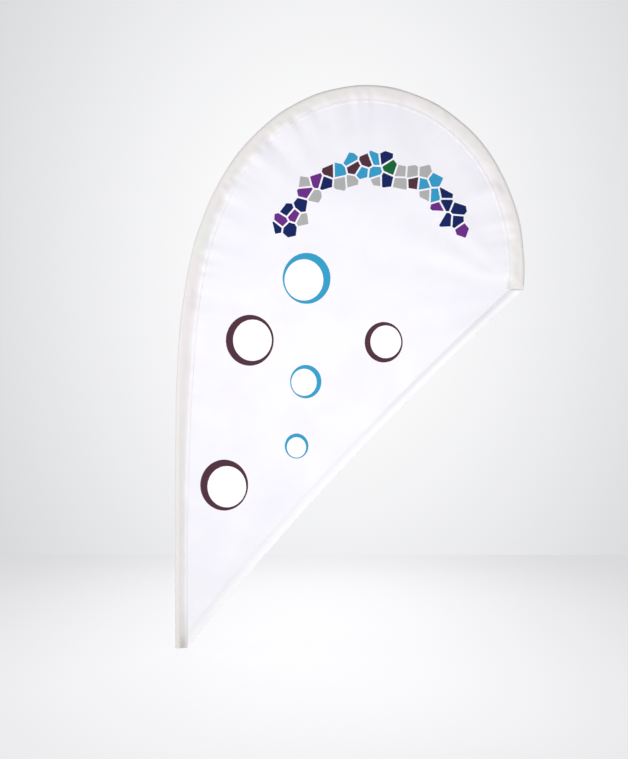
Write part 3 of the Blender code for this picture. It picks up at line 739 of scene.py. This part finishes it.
# the painted shade is rosy in some patches and greenish in others, each about a hand long
place = add(tree, "TexCoord").outputs["Object"]
patchy = add(tree, "TexNoise", {"Vector": place, "Scale": 6.0, "Detail": 2.0}).outputs["Fac"]
tinge = add(tree, "MapRange", {"Value": patchy, "From Min": 0.35, "From Max": 0.65})
hues = {0: tinge, 6: linear("#F0E9E9"), 7: linear("#EBEBE6")}
shade_hues = add(tree, "Mix", hues, data_type="RGBA")
white = cloth.inputs[0].links[0].from_socket
# painted shade greys the twill's white along the fold and at both ends
tint = add(tree, "Mix", {0: grey, 6: white, 7: shade_hues}, data_type="RGBA")
deeper = add(tree, "Mix", {0: ends, 6: tint, 7: linear("#E3E1DB")}, data_type="RGBA")
# painted shadow in the sag at the mouth, the darkest grey
crease_shadow = add(tree, "Math", {0: painted_shade["low"], 1: painted_shade["sag"]}, operation="MULTIPLY")
with_crease_shadow = add(tree, "Mix", {0: crease_shadow, 6: deeper, 7: linear("#B9B2AC")}, data_type="RGBA")
plug(cloth, {0: with_crease_shadow})
# painted shade on the hem: greyer towards its lip, most near the fly corner
greyer = add(hem_tree, "Math", {0: painted_shade["hem lip"], 1: painted_shade["hem fly"]}, operation="MULTIPLY")
white = hem_cloth.inputs[0].links[0].from_socket
shaded = add(hem_tree, "Mix", {0: greyer, 6: white, 7: linear("#E6E6EA")}, data_type="RGBA")
plug(hem_cloth, {0: shaded})
print("painted_shade", list(painted_shade))

# %% [markdown]
# ## Thread
# The seams are sewn with a spun polyester thread of two plies, twisted together every 2 mm. The
# twist gives each stitch a faint slanting stripe. It matches the cloth, so a seam reads as a row
# of tiny shadows and lights, not as a coloured line.

# %% Thread
thread, tree, shader = new_material("spun_polyester_thread")
place = add(tree, "TexCoord").outputs["Object"]
twist = add(tree, "TexWave", {"Vector": place, "Scale": WAVE_PERIOD / 0.0020}, bands_direction="DIAGONAL")
strand = add(
    tree, "Mix", {0: twist.outputs["Fac"], 6: linear("#E6E4E7"), 7: linear("#FAF9FB")}, data_type="RGBA"
)
plug(shader, {"Base Color": strand, "Roughness": 0.7, "Sheen Weight": 0.2})

# %% [markdown]
# ## The pole sleeve
# The sleeve is one strip folded round the pole and sewn through both lips and the panel. Its
# profile is worked out for each station along the run: half a circle round the pole, straight
# slopes that leave it tangentially, and flat lips. The slopes pucker between the stitches, and the
# fold stands off the pole a little, here more and there less, because the strip has some slack.

# %% The sleeve's surface
ARC, SLOPE, LIP = 9, 10, 8
ROWS = (0.0030, 0.0095)


def sleeve_profile(s):
    """(d, h) of half a profile for each s, from the outer fold to the lip: d is the distance
    towards the panel and h the height off the mid-plane.

    The arc ends where the line from the seam touches the circle. The slope puckers outwards, and
    sags between the pole and the seam at the open mouth. Each row of stitches pinches the lip, and
    the lip's cut edge is pressed down on the panel."""
    s = s[:, None]
    radius, reach = bulge(s), lip(s)
    closing = smooth((s - (POLE_LENGTH + 0.004)) / (RUN - POLE_LENGTH - 0.004))
    shift = (radius - PLY) * closing
    radius = radius - shift
    seam = reach - LAP + shift
    touch = np.arctan2(PLY, seam) + np.arccos(np.minimum(radius / np.hypot(seam, PLY), 1.0))
    angle = math.pi + (touch - math.pi) * np.linspace(0, 1, ARC + 1)[None]
    slack = (0.0016 + 0.0008 * waves(s, 0.42, 0.14, 21)) * gather(s) * (1 - closing)
    stand = np.maximum(-np.cos(angle), 0.0) ** 1.5
    arc = np.stack([radius * np.cos(angle) - slack * stand, radius * np.sin(angle)], -1)
    t = np.linspace(0, 1, SLOPE + 1)[None, 1:]
    start, finish = arc[:, -1:], np.stack([seam, np.full_like(seam, PLY)], -1)
    slope = start + (finish - start) * t[..., None]
    pucker = (0.45 + 0.30 * waves(s, 0.085, 0.030, 22)) * gather(s) * (1 - closing)
    slope[..., 1] += np.sin(math.pi * t**0.8) ** 1.5 * pucker * 0.0030
    slope[..., 1] -= np.sin(math.pi * t**1.4) * smooth((0.060 - s) / 0.060) * 0.0034
    d = seam + (reach + shift - seam) * np.linspace(0, 1, LIP + 1)[None, 1:]
    pinch = sum(np.exp(-(((reach + shift - d - row) / 0.0012) ** 2)) for row in ROWS)
    swell = 0.0008 * (1 + 0.7 * waves(s, 0.06, 0.022, 23)) * gather(s)
    h = PLY + swell * np.sin(math.pi * np.clip((d - seam) / LAP, 0, 1)) - 0.00022 * pinch
    h = h - 0.00028 * smooth(1 - (reach + shift - d) / 0.0025)
    flat_lip = np.stack([d, h], -1)
    half = np.concatenate([arc, slope, flat_lip], axis=1)
    half[..., 0] -= shift
    return half


def folded(half, raise_by):
    """Half a profile mirrored into back lip, outer fold and front lip, and raised along its own
    normal."""
    both = np.concatenate([half[:, ::-1], half[:, 1:] * [1, -1]], axis=1)
    step = unit(np.gradient(both, axis=1))
    return both + raise_by * np.stack([step[..., 1], -step[..., 0]], -1)


def sleeve_surface(s, raise_by=0.0):
    """The sleeve's points: the folded profile set square to the pole's line, and lifted with the
    gathers."""
    half = sleeve_profile(s)
    both = folded(half, raise_by)
    centre, _, outward = along_pole(s)
    points = centre[:, None] - outward[:, None] * both[..., :1]
    points[..., 1] = both[..., 1] + seam_height(s[:, None], np.maximum(both[..., 0], 0.0))
    return points


EYELET_Z = (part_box("eyelet")[0].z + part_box("eyelet")[1].z) / 2
HOLE_RADIUS, BACK_ONLY = 0.0056, 0.004  # of the hole in the cloth, and how far back it is cut
around = (EYELET_Z - 0.012, EYELET_Z + 0.012)  # where the stations lie closer together
stations = np.concatenate(
    [np.linspace(MOUTH, around[0], 13)[:-1], np.linspace(*around, 17)[:-1], np.linspace(around[1], RUN, 414)]
)


def eyelet_hole(middles):
    """True for faces whose middle lies under the eyelet's face, on the back."""
    off = np.hypot(middles[:, 0], middles[:, 2] - EYELET_Z)
    return (middles[:, 1] > BACK_ONLY) & (off < HOLE_RADIUS)


points = sleeve_surface(stations)
across = run_length(points)
across -= across[:, [points.shape[1] // 2]]
uv = np.stack([np.broadcast_to(stations[:, None], across.shape), across], -1)
sleeve = grid_piece("sleeve_cloth", points, twill, uv=uv, leave_out=eyelet_hole)
thicken(sleeve, CLOTH)
stand_in(sleeve, "flag", "pole_sleeve")
print("sleeve", points.shape, "round the foot (mm)", round(run_length(points[0])[-1] * 1000, 1))

# %% [markdown]
# ## The hem
# The slanted edge is bound with a strip of the sleeve's cloth, folded over the cut edge and sewn
# down. It is the sleeve's idea again without the pole: a narrow fold, two plies, and a lip. Its
# ends are mitred, level with the sleeve's end at the fly corner and upright at the mouth.


# %% The hem tape
def hem_surface(share, raise_by=0.0):
    """The tape's points for shares of the way from the fly corner to the mouth: back lip, round
    the fold, front lip, with the plies a panel apart and lifted with the cloth. The corner at the
    mouth is rounded: it is cut back by the gap between a square corner and its circle."""
    top = meet_circle(HEM_CENTRE, HEM_RADIUS + HEM_WIDTH, FLY, -end_out)
    foot = meet_circle(HEM_CENTRE, HEM_RADIUS + HEM_WIDTH, CORNER, np.array([0.0, 1.0]))
    outer = arc_between(HEM_CENTRE, FLY, CORNER, share)
    inner = arc_between(HEM_CENTRE, top, foot, share)
    left = CORNER_ROUND - np.clip((1 - share) * np.linalg.norm(FLY - CORNER), 0, CORNER_ROUND)
    cut = (CORNER_ROUND - np.sqrt(CORNER_ROUND**2 - left**2))[:, None]
    outer = outer + cut * (inner - outer) / np.linalg.norm(inner - outer, axis=-1)[:, None]
    width = np.linalg.norm(inner - outer, axis=-1)[:, None]
    towards = unit(inner - outer)
    fold = PLY + CLOTH / 2
    angle = math.pi - np.linspace(0, math.pi / 2, 6)[None, 1:]
    t = np.linspace(0, 1, 15)[None]
    d = fold + (width - fold) * t
    pinch = np.exp(-(((width - d - 0.0035) / 0.0014) ** 2))
    swell = 0.0006 * np.sin(math.pi * t) ** 0.8 * (1 + 0.35 * waves(share[:, None] * HEM_RUN, 0.16, 0.05, 31))
    h = PLY + swell - 0.00022 * pinch
    nose = np.stack(np.broadcast_arrays(fold + PLY * np.cos(angle), PLY * np.sin(angle)), -1)
    nose = np.broadcast_to(nose, (len(share), *nose.shape[1:]))[:, :-1]
    tip = np.broadcast_to(np.array([fold - PLY, 0.0]), (len(share), 1, 2))
    half = np.concatenate([tip, nose, np.stack([d, h], -1)], axis=1)
    both = folded(half, raise_by)
    flat = outer[:, None] + towards[:, None] * both[..., :1]
    points = np.stack([flat[..., 0], np.zeros(flat.shape[:2]), flat[..., 1]], -1)
    points[..., 1] = height(points) + both[..., 1]
    return points


shares = np.unique(np.concatenate([np.linspace(0.0, 1.0, 241), 1 - np.geomspace(1e-4, 0.008, 12)]))
points = hem_surface(shares)
width = run_length(points[120])
uv = np.stack(np.broadcast_arrays(shares[:, None] * HEM_RUN, width[None] - width[-1] / 2), -1)
hem = grid_piece("hem_binding", points, plain, uv=uv)
thicken(hem, CLOTH)
stand_in(hem, "flag", "hem_tape")

# %% [markdown]
# ## Stitches
# A lockstitch shows as a row of short, slightly sunken dashes. Real ones are 3 mm long; at that
# size a flag this tall would need thousands, so they are drawn 7 mm apart. Each one is a tiny
# capsule of two dozen faces, and a whole row is made at once from arrays of places and directions.


# %% Rows of stitches
def stitch_points(centres, ways, ups, half_length, radius):
    """Capsules as rings round each stitch's way: five rings with radii of a pointed oval."""
    side = np.cross(ways, ups)
    along = np.array([-1.0, -0.72, 0.0, 0.72, 1.0])
    swell = np.array([0.0, 0.78, 1.0, 0.78, 0.0])
    turn = np.arange(6) * math.pi / 3
    ring = ups[:, None] * np.cos(turn)[:, None] + side[:, None] * np.sin(turn)[:, None]
    length, width = (along * half_length)[:, None, None], (swell * radius)[:, None, None]
    return centres[:, None, None] + ways[:, None, None] * length + ring[:, None] * width


def stitch_mesh(name, capsules):
    """One mesh for all capsules: each is a grid of rings that closes on itself."""
    count, rings, sides = capsules.shape[:3]
    first = np.arange(count)[:, None, None] * rings * sides
    faces = (grid_faces(rings, sides, True) + first).reshape(-1, 4)
    mesh = bpy.data.meshes.new(name)
    mesh.from_pydata(capsules.reshape(-1, 3), [], faces.tolist())
    return mesh


def row_on_surface(grid, column):
    """(centres, ways, ups) along one column of a surface's grid: stitches sit between two stations,
    and their up is the surface's normal there."""
    line = grid[:, column]
    ways = line[1:] - line[:-1]
    across = (grid[:, column + 1] - grid[:, column - 1])[1:]
    return (line[1:] + line[:-1]) / 2, unit(ways), unit(np.cross(across, ways))


def sewn(name, rows, half_length, radius):
    """One piece of thread for rows of (centres, ways, ups), with stitches of one size."""
    stitches = [stitch_points(*row, half_length, radius) for row in rows]
    made = piece(name, stitch_mesh(name, np.concatenate(stitches)), thread)
    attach(made, "flag")
    return made


THREAD_RADIUS = 0.00042
SEAM_PITCH, SEAM_STITCH = 0.0072, 0.0027  # from stitch to stitch, and half of one's length
SKIN = CLOTH / 2 + 0.0001  # from the middle of the cloth to the middle of a stitch on it
# the lip's columns are 1.5 mm apart, so the rows at 3 and 9.5 mm from the lip are 2 and 6 in
skin = sleeve_surface(np.arange(MOUTH + 0.004, RUN - 0.004, SEAM_PITCH), SKIN)
last = skin.shape[1] - 1
rows = [row_on_surface(skin, column) for column in (2, 6, last - 6, last - 2)]
sleeve_seam = sewn("sleeve_seam_thread", rows, SEAM_STITCH, THREAD_RADIUS)
skin = hem_surface(np.linspace(0.004, 0.990, 200), SKIN)
rows = [row_on_surface(skin, column) for column in (2, skin.shape[1] - 3)]
hem_seam = sewn("hem_seam_thread", rows, SEAM_STITCH, THREAD_RADIUS)
print("stitches", sum(len(seam.data.polygons) // 24 for seam in (sleeve_seam, hem_seam)))

# %% [markdown]
# ## Stitches that cross a piece
# The sleeve's closed end is sewn across twice, and the patch is held down by a box with a cross in
# it, as on any strap that takes a pull. Such a row is a straight line on the piece's own grid: its
# places are found between the grid's points, and its direction and normal by small differences.


# %% Rows across
def between(surface, place):
    """The surface at (row, column) places with fractions: the mix of its four neighbours."""
    low = np.minimum(np.floor(place).astype(int), np.array(surface.shape[:2]) - 2)
    part = (place - low)[..., None]
    i, j = low[:, 0], low[:, 1]
    near = surface[i, j] * (1 - part[:, 1]) + surface[i, j + 1] * part[:, 1]
    far = surface[i + 1, j] * (1 - part[:, 1]) + surface[i + 1, j + 1] * part[:, 1]
    return near * (1 - part[:, 0]) + far * part[:, 0]


def row_across(surface, start, end, pitch):
    """(centres, ways, ups) from start to end, both (row, column), a pitch apart."""
    start, end = np.asarray(start, float), np.asarray(end, float)
    length = run_length(between(surface, np.linspace(start, end, 200)))
    count = max(int(length[-1] / pitch), 2)
    share = np.interp((np.arange(count) + 0.5) / count * length[-1], length, np.linspace(0, 1, 200))
    place = start + share[:, None] * (end - start)

    def slope(way):
        nudge = 0.05 * np.asarray(way)
        return between(surface, place + nudge) - between(surface, place - nudge)

    ups = unit(np.cross(slope([0, 1]), slope([1, 0])))
    return between(surface, place), unit(slope(unit(end - start))), ups


end_skin = sleeve_surface(np.linspace(RUN - 0.020, RUN, 11), SKIN)
last = end_skin.shape[1] - 1
rows = [
    row_across(end_skin, (row, a), (row, b), 0.0042)
    for row in (5.0, 8.2)
    for a, b in ((1, 26), (last - 1, last - 26))
]
sewn("sleeve_end_thread", rows, 0.0016, THREAD_RADIUS)
print("stitches across the end", sum(len(centres) for centres, _, _ in rows))

# %% [markdown]
# ## The patch under the eyelet
# A strip of webbing spreads the button's pull over the cloth. It lies on the sleeve's back and
# follows its curve, so its points are the sleeve's own, raised by half of both thicknesses.

# %% Eyelet patch
PATCH_ROWS, PATCH_COLUMNS = 57, 33
low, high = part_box("eyelet_patch")
heights = np.linspace(low.z, high.z, PATCH_ROWS)
skin = sleeve_surface(heights, 0.00085)[:, 13:24]  # the columns on the back, round the eyelet
across = run_length(skin[PATCH_ROWS // 2])
PATCH_WIDTH = float(across[-1])
fine_across = np.linspace(0, 1, PATCH_COLUMNS) * PATCH_WIDTH
column = np.interp(fine_across, across, np.arange(len(across)))
place = np.stack(np.meshgrid(np.arange(float(PATCH_ROWS)), column, indexing="ij"), -1)
points = between(skin, place.reshape(-1, 2)).reshape(PATCH_ROWS, PATCH_COLUMNS, 3)
uv = np.stack(np.meshgrid(heights, fine_across, indexing="ij"), -1)
patch = grid_piece("eyelet_patch_webbing", points, webbing, uv=uv, leave_out=eyelet_hole)
thicken(patch, 0.0007)
edge = patch.modifiers.new("edge", "BEVEL")
edge.width, edge.segments, edge.limit_method = 0.0002, 2, "ANGLE"
stand_in(patch, "flag", "eyelet_patch")

skin = points + [0.0, 0.00045, 0.0]
# the box and the arms of its cross, which stop short of the eyelet, as (row, column) of the patch
corners = [(3, 2), (53, 2), (53, 30), (3, 30)]
lines = [(corners[k], corners[(k + 1) % 4]) for k in range(4)]
lines += [((4, 3), (20, 11)), ((36, 21), (52, 29)), ((4, 29), (20, 21)), ((36, 11), (52, 3))]
rows = [row_across(skin, a, b, 0.0030) for a, b in lines]
box_seam = sewn("patch_thread", rows, 0.0011, 0.00035)
print("patch (mm)", round(PATCH_WIDTH * 1000, 1), "x", round((high.z - low.z) * 1000, 1))

# %% [markdown]
# ## The mouth's lining and the tip's pocket
# Two more pieces of webbing are sewn in where the pole rubs and pushes: a strip round the outer
# side of the mouth, and a closed cup that takes the pole's end cap. Both are a radius carried round
# the pole's line.


# %% Lining and pocket
def round_pole(s, radius, turns):
    """Points at radius from the pole's line for each s (rows) and turn (columns); a turn of 0 is
    the outer side."""
    centre, _, outward = along_pole(s)
    x, y = np.cos(turns)[None, :, None], np.sin(turns)[None, :, None]
    away = outward[:, None] * x + np.array([0.0, 1.0, 0.0]) * y
    return centre[:, None] + away * radius[:, None, None]


low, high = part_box("mouth_facing")
turns = np.linspace(-math.radians(115), math.radians(115), 61)
s = np.linspace(low.z, high.z, 25)
radius = np.full(25, -low.x - 0.0003) + 0.0001 * np.exp(-(s - s[0]) / 0.002)
uv = np.stack(np.meshgrid(s, turns * -low.x, indexing="ij"), -1)
lining = grid_piece("mouth_lining", round_pole(s, radius, turns), webbing, uv=uv)
# the cup: a straight wall, a rounded corner, and a flat end that closes on the pole's line
CUP_DEPTH, CUP_CORNER = 0.060, 0.003
cup_end = POLE_LENGTH + 0.0013
wall, end = half_depth("tip_pocket") - 0.0005, cup_end - 0.0005
straight, flat = end - CUP_CORNER, wall - CUP_CORNER
bend = np.linspace(0, math.pi / 2, 9)[1:]
s = [np.linspace(cup_end - CUP_DEPTH, straight, 25), straight + CUP_CORNER * np.sin(bend)]
s = np.concatenate([*s, np.full(6, end)])
radius = [np.full(25, wall), flat + CUP_CORNER * np.cos(bend), flat * np.linspace(1, 0, 7)[1:]]
radius = np.concatenate(radius)
turns = np.linspace(0, 2 * math.pi, 48, endpoint=False)
lengthwise = run_length(np.stack([s, radius], -1))
uv = np.stack(np.meshgrid(lengthwise, turns * wall, indexing="ij"), -1)
points = round_pole(s, radius, turns)
cup = grid_piece("tip_pocket_webbing", points, webbing, weld=True, uv=uv, ring=True)
for made, node, thickness in ((lining, "mouth_facing", 0.0006), (cup, "tip_pocket", 0.0010)):
    thicken(made, thickness)
    stand_in(made, "flag", node)

# %% [markdown]
# ## Metals and plastics
# The button and the eyelet are brass, stamped and plated with bright nickel: a slightly warm
# mirror with hairline scratches from use. The pole's tubes are drawn aluminium, anodised to a
# satin grey, with faint lines along the draw. The leaf spring is hardened strip, darker and bluer.
# The foot bush and the collars are nylon with the fine matt grain of a spark-eroded mould, and the
# tip cap is black rubber, duller and softer. The whippy upper sections are pultruded glass fibre:
# straight rovings in clear resin, which show as pale streaks along the rod. All share one recipe:
# a fine noise, stretched along the grain, varies the tone and the height, and a metal's gloss.

# %% Finishes of the hard pieces
FINISHES = (
    # name, light, dark, metallic, coat, roughness and how much it varies,
    # grain length and width (m), its detail, bump strength and height (m)
    ("bright_nickel_plated_brass", "#DAD4CA", "#CFC8BC", 1, 0, 0.20, 0.10, 0.003, 0.0003, 3, 0.4, 1e-5),
    ("satin_anodised_drawn_aluminium", "#D3D5D8", "#C4C7CA", 1, 0, 0.36, 0.12, 0.04, 0.0005, 3, 0.4, 2e-5),
    ("hardened_spring_steel_strip", "#A3A6AB", "#8C9096", 1, 0, 0.30, 0.14, 0.02, 0.0004, 3, 0.4, 2e-5),
    ("spark_grained_moulded_nylon", "#2B2B2D", "#1B1B1C", 0, 0, 0.52, 0, 0.0008, 0.0008, 2, 0.5, 5e-5),
    ("moulded_black_rubber", "#1D1D1D", "#121212", 0, 0, 0.82, 0, 0.0011, 0.0011, 2, 0.5, 8e-5),
    ("pultruded_glass_fibre", "#F0EDE3", "#DBD6C6", 0, 0.3, 0.34, 0, 0.06, 0.0006, 2, 0.5, 2e-5),
)
finishes = {}
for name, light, dark, metal, coat, rough, vary, length, width, detail, strength, depth in FINISHES:
    finishes[name], tree, shader = new_material(name)
    place = add(tree, "TexCoord").outputs["Object"]
    drawn = add(tree, "Mapping", {"Vector": place, "Scale": (1 / width, 1 / width, 1 / length)})
    grain = add(tree, "TexNoise", {"Vector": drawn, "Scale": 1.0, "Detail": detail}).outputs["Fac"]
    tone = {0: grain, 6: linear(dark), 7: linear(light)}
    plug(shader, {"Base Color": add(tree, "Mix", tone, data_type="RGBA")})
    worn = {"Value": grain, "To Min": rough - vary / 2, "To Max": rough + vary / 2}
    plug(shader, {"Roughness": add(tree, "MapRange", worn) if vary else rough})
    bump = add(tree, "Bump", {"Height": grain, "Strength": strength, "Distance": depth})
    plug(shader, {"Normal": bump, "Metallic": metal, "Coat Weight": coat})
print("finishes", list(finishes))

# %% [markdown]
# ## Turned fittings
# The button, the eyelet and the foot bush are round. Each is a profile of radii and heights swept
# round its axis. On the real pieces every corner is rolled or moulded soft, so the profile's
# corners are rounded first, each with its own size.


# %% Turned pieces
def rounded(corners, sizes, steps=5):
    """A closed profile with soft corners: near each corner it follows the quadratic curve that
    leaves one side at size from the corner and joins the next side at size beyond it."""
    corners, sizes = np.asarray(corners, float), np.asarray(sizes, float)[:, None]
    back, ahead = np.roll(corners, 1, axis=0) - corners, np.roll(corners, -1, axis=0) - corners
    start, finish = corners + unit(back) * sizes, corners + unit(ahead) * sizes
    t = np.linspace(0, 1, steps)[None, :, None]
    path = (1 - t) ** 2 * start[:, None] + 2 * t * (1 - t) * corners[:, None] + t**2 * finish[:, None]
    path = path.reshape(-1, 2)
    return np.concatenate([path, path[:1]])


def turned_piece(name, profile, centre, along_y, sides, finish, notches=0, notch_depth=0.0):
    """A (radius, height) profile swept round Z, or round Y. Notches shrink the widest radii by a
    wave that runs round the axis."""
    turns = np.linspace(0, 2 * math.pi, sides, endpoint=False)
    radius = np.repeat(profile[:, :1], sides, axis=1)
    if notches:
        wide = radius > radius.max() - 0.0004
        radius = radius - wide * notch_depth * np.maximum(np.cos(notches * turns), 0.0)[None] ** 2
    height_along = np.repeat(profile[:, 1:], sides, axis=1)
    x, other = radius * np.cos(turns), radius * np.sin(turns)
    parts = (x, height_along, other) if along_y else (x, other, height_along)
    return grid_piece(name, np.stack(parts, -1) + centre, finish, weld=True, ring=True)


nickel = finishes["bright_nickel_plated_brass"]
low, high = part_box("snap_button")
corners = [
    (0.0, high.y), (0.0022, high.y - 0.0002), (0.0035, high.y - 0.0016), (0.0035, low.y + 0.0010),
    (0.0046, low.y + 0.0010), (0.0046, low.y), (0.0, low.y),
]
profile = rounded(corners, [0, 0.0008, 0.0009, 0.0002, 0.0002, 0.0002, 0])
button = turned_piece("snap_button_domed", profile, (0.0, 0.0, EYELET_Z), True, 48, nickel)
stand_in(button, "button", "snap_button")

low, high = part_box("eyelet")
seat = high.y - 0.0012
corners = [
    (0.0040, low.y), (0.0040, high.y - 0.0003), (0.0048, high.y), (0.0064, high.y - 0.0001),
    (0.0078, seat + 0.0003), (0.0078, seat), (0.0046, seat), (0.0046, low.y),
]
profile = rounded(corners, [0.0002, 0.0004, 0.0004, 0.0006, 0.0001, 0.0001, 0.0002, 0.0002])
eyelet = turned_piece("rolled_eyelet", profile, (0.0, 0.0, EYELET_Z), True, 64, nickel)
stand_in(eyelet, "flag", "eyelet")

low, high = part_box("foot_bush")
flange, bore, barrel = high.x, 0.0060, 0.0076
corners = [
    (bore, low.z), (bore, high.z), (barrel, high.z), (barrel, low.z + 0.0025), (flange, low.z + 0.0025),
    (flange, low.z),
]
profile = rounded(corners, [0.0006, 0.0003, 0.0006, 0.0003, 0.0005, 0.0006])
nylon = finishes["spark_grained_moulded_nylon"]
bush = turned_piece("flanged_foot_bush", profile, (0.0, 0.0, 0.0), False, 96, nylon, 24, 0.00035)
stand_in(bush, "bush", "foot_bush")
print("fittings", button.name, eyelet.name, bush.name)

# %% [markdown]
# ## The leaf spring
# The button is pushed out by a strip of spring steel, bent into a narrow U inside the tube. When
# the button is pressed, the U closes. Here the strip is made again as a path carried across its width.

# %% Leaf spring
low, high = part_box("button_spring")
half = 0.00025  # of the strip's thickness
bend = (high.y - low.y) / 2 - half
turns = np.linspace(0, math.pi, 25)
straight = np.linspace(low.z, high.z - half - bend, 20)
path_y = np.concatenate(
    [np.full(19, high.y - half), low.y + half + bend * (1 + np.cos(turns)), np.full(19, low.y + half)]
)
path_z = np.concatenate([straight[:-1], straight[-1] + bend * np.sin(turns), straight[-2::-1]])
strip = np.broadcast_arrays(np.linspace(low.x, high.x, 5)[None], path_y[:, None], path_z[:, None])
steel = finishes["hardened_spring_steel_strip"]
spring = grid_piece("leaf_spring", np.stack(strip, -1), steel)
thicken(spring, 2 * half)
stand_in(spring, "flag", "button_spring")
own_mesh(spring)
print("spring opens (mm)", round(2000 * bend, 2))

# %% [markdown]
# ## Finishes for the carried-over pieces
# The pole, its ferrules, collars and cap have the right shape already. They stay as they are, and
# each takes the finish of its own material in place of the plain one it came with.

# %% Finishes on the CAD pieces
CARRIED = {
    "satin_anodised_drawn_aluminium": ("pole_foot_section", "ferrule_1", "ferrule_2", "ferrule_3"),
    "pultruded_glass_fibre": ("pole_lower_section", "pole_upper_section", "pole_tip_section"),
    "spark_grained_moulded_nylon": ("stop_collar_1", "stop_collar_2", "stop_collar_3"),
    "moulded_black_rubber": ("tip_cap",),
}
for finish, nodes in CARRIED.items():
    for node in nodes:
        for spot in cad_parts[node].material_slots:
            spot.material = finishes[finish]
print("finished", sum(len(nodes) for nodes in CARRIED.values()), "carried-over pieces")
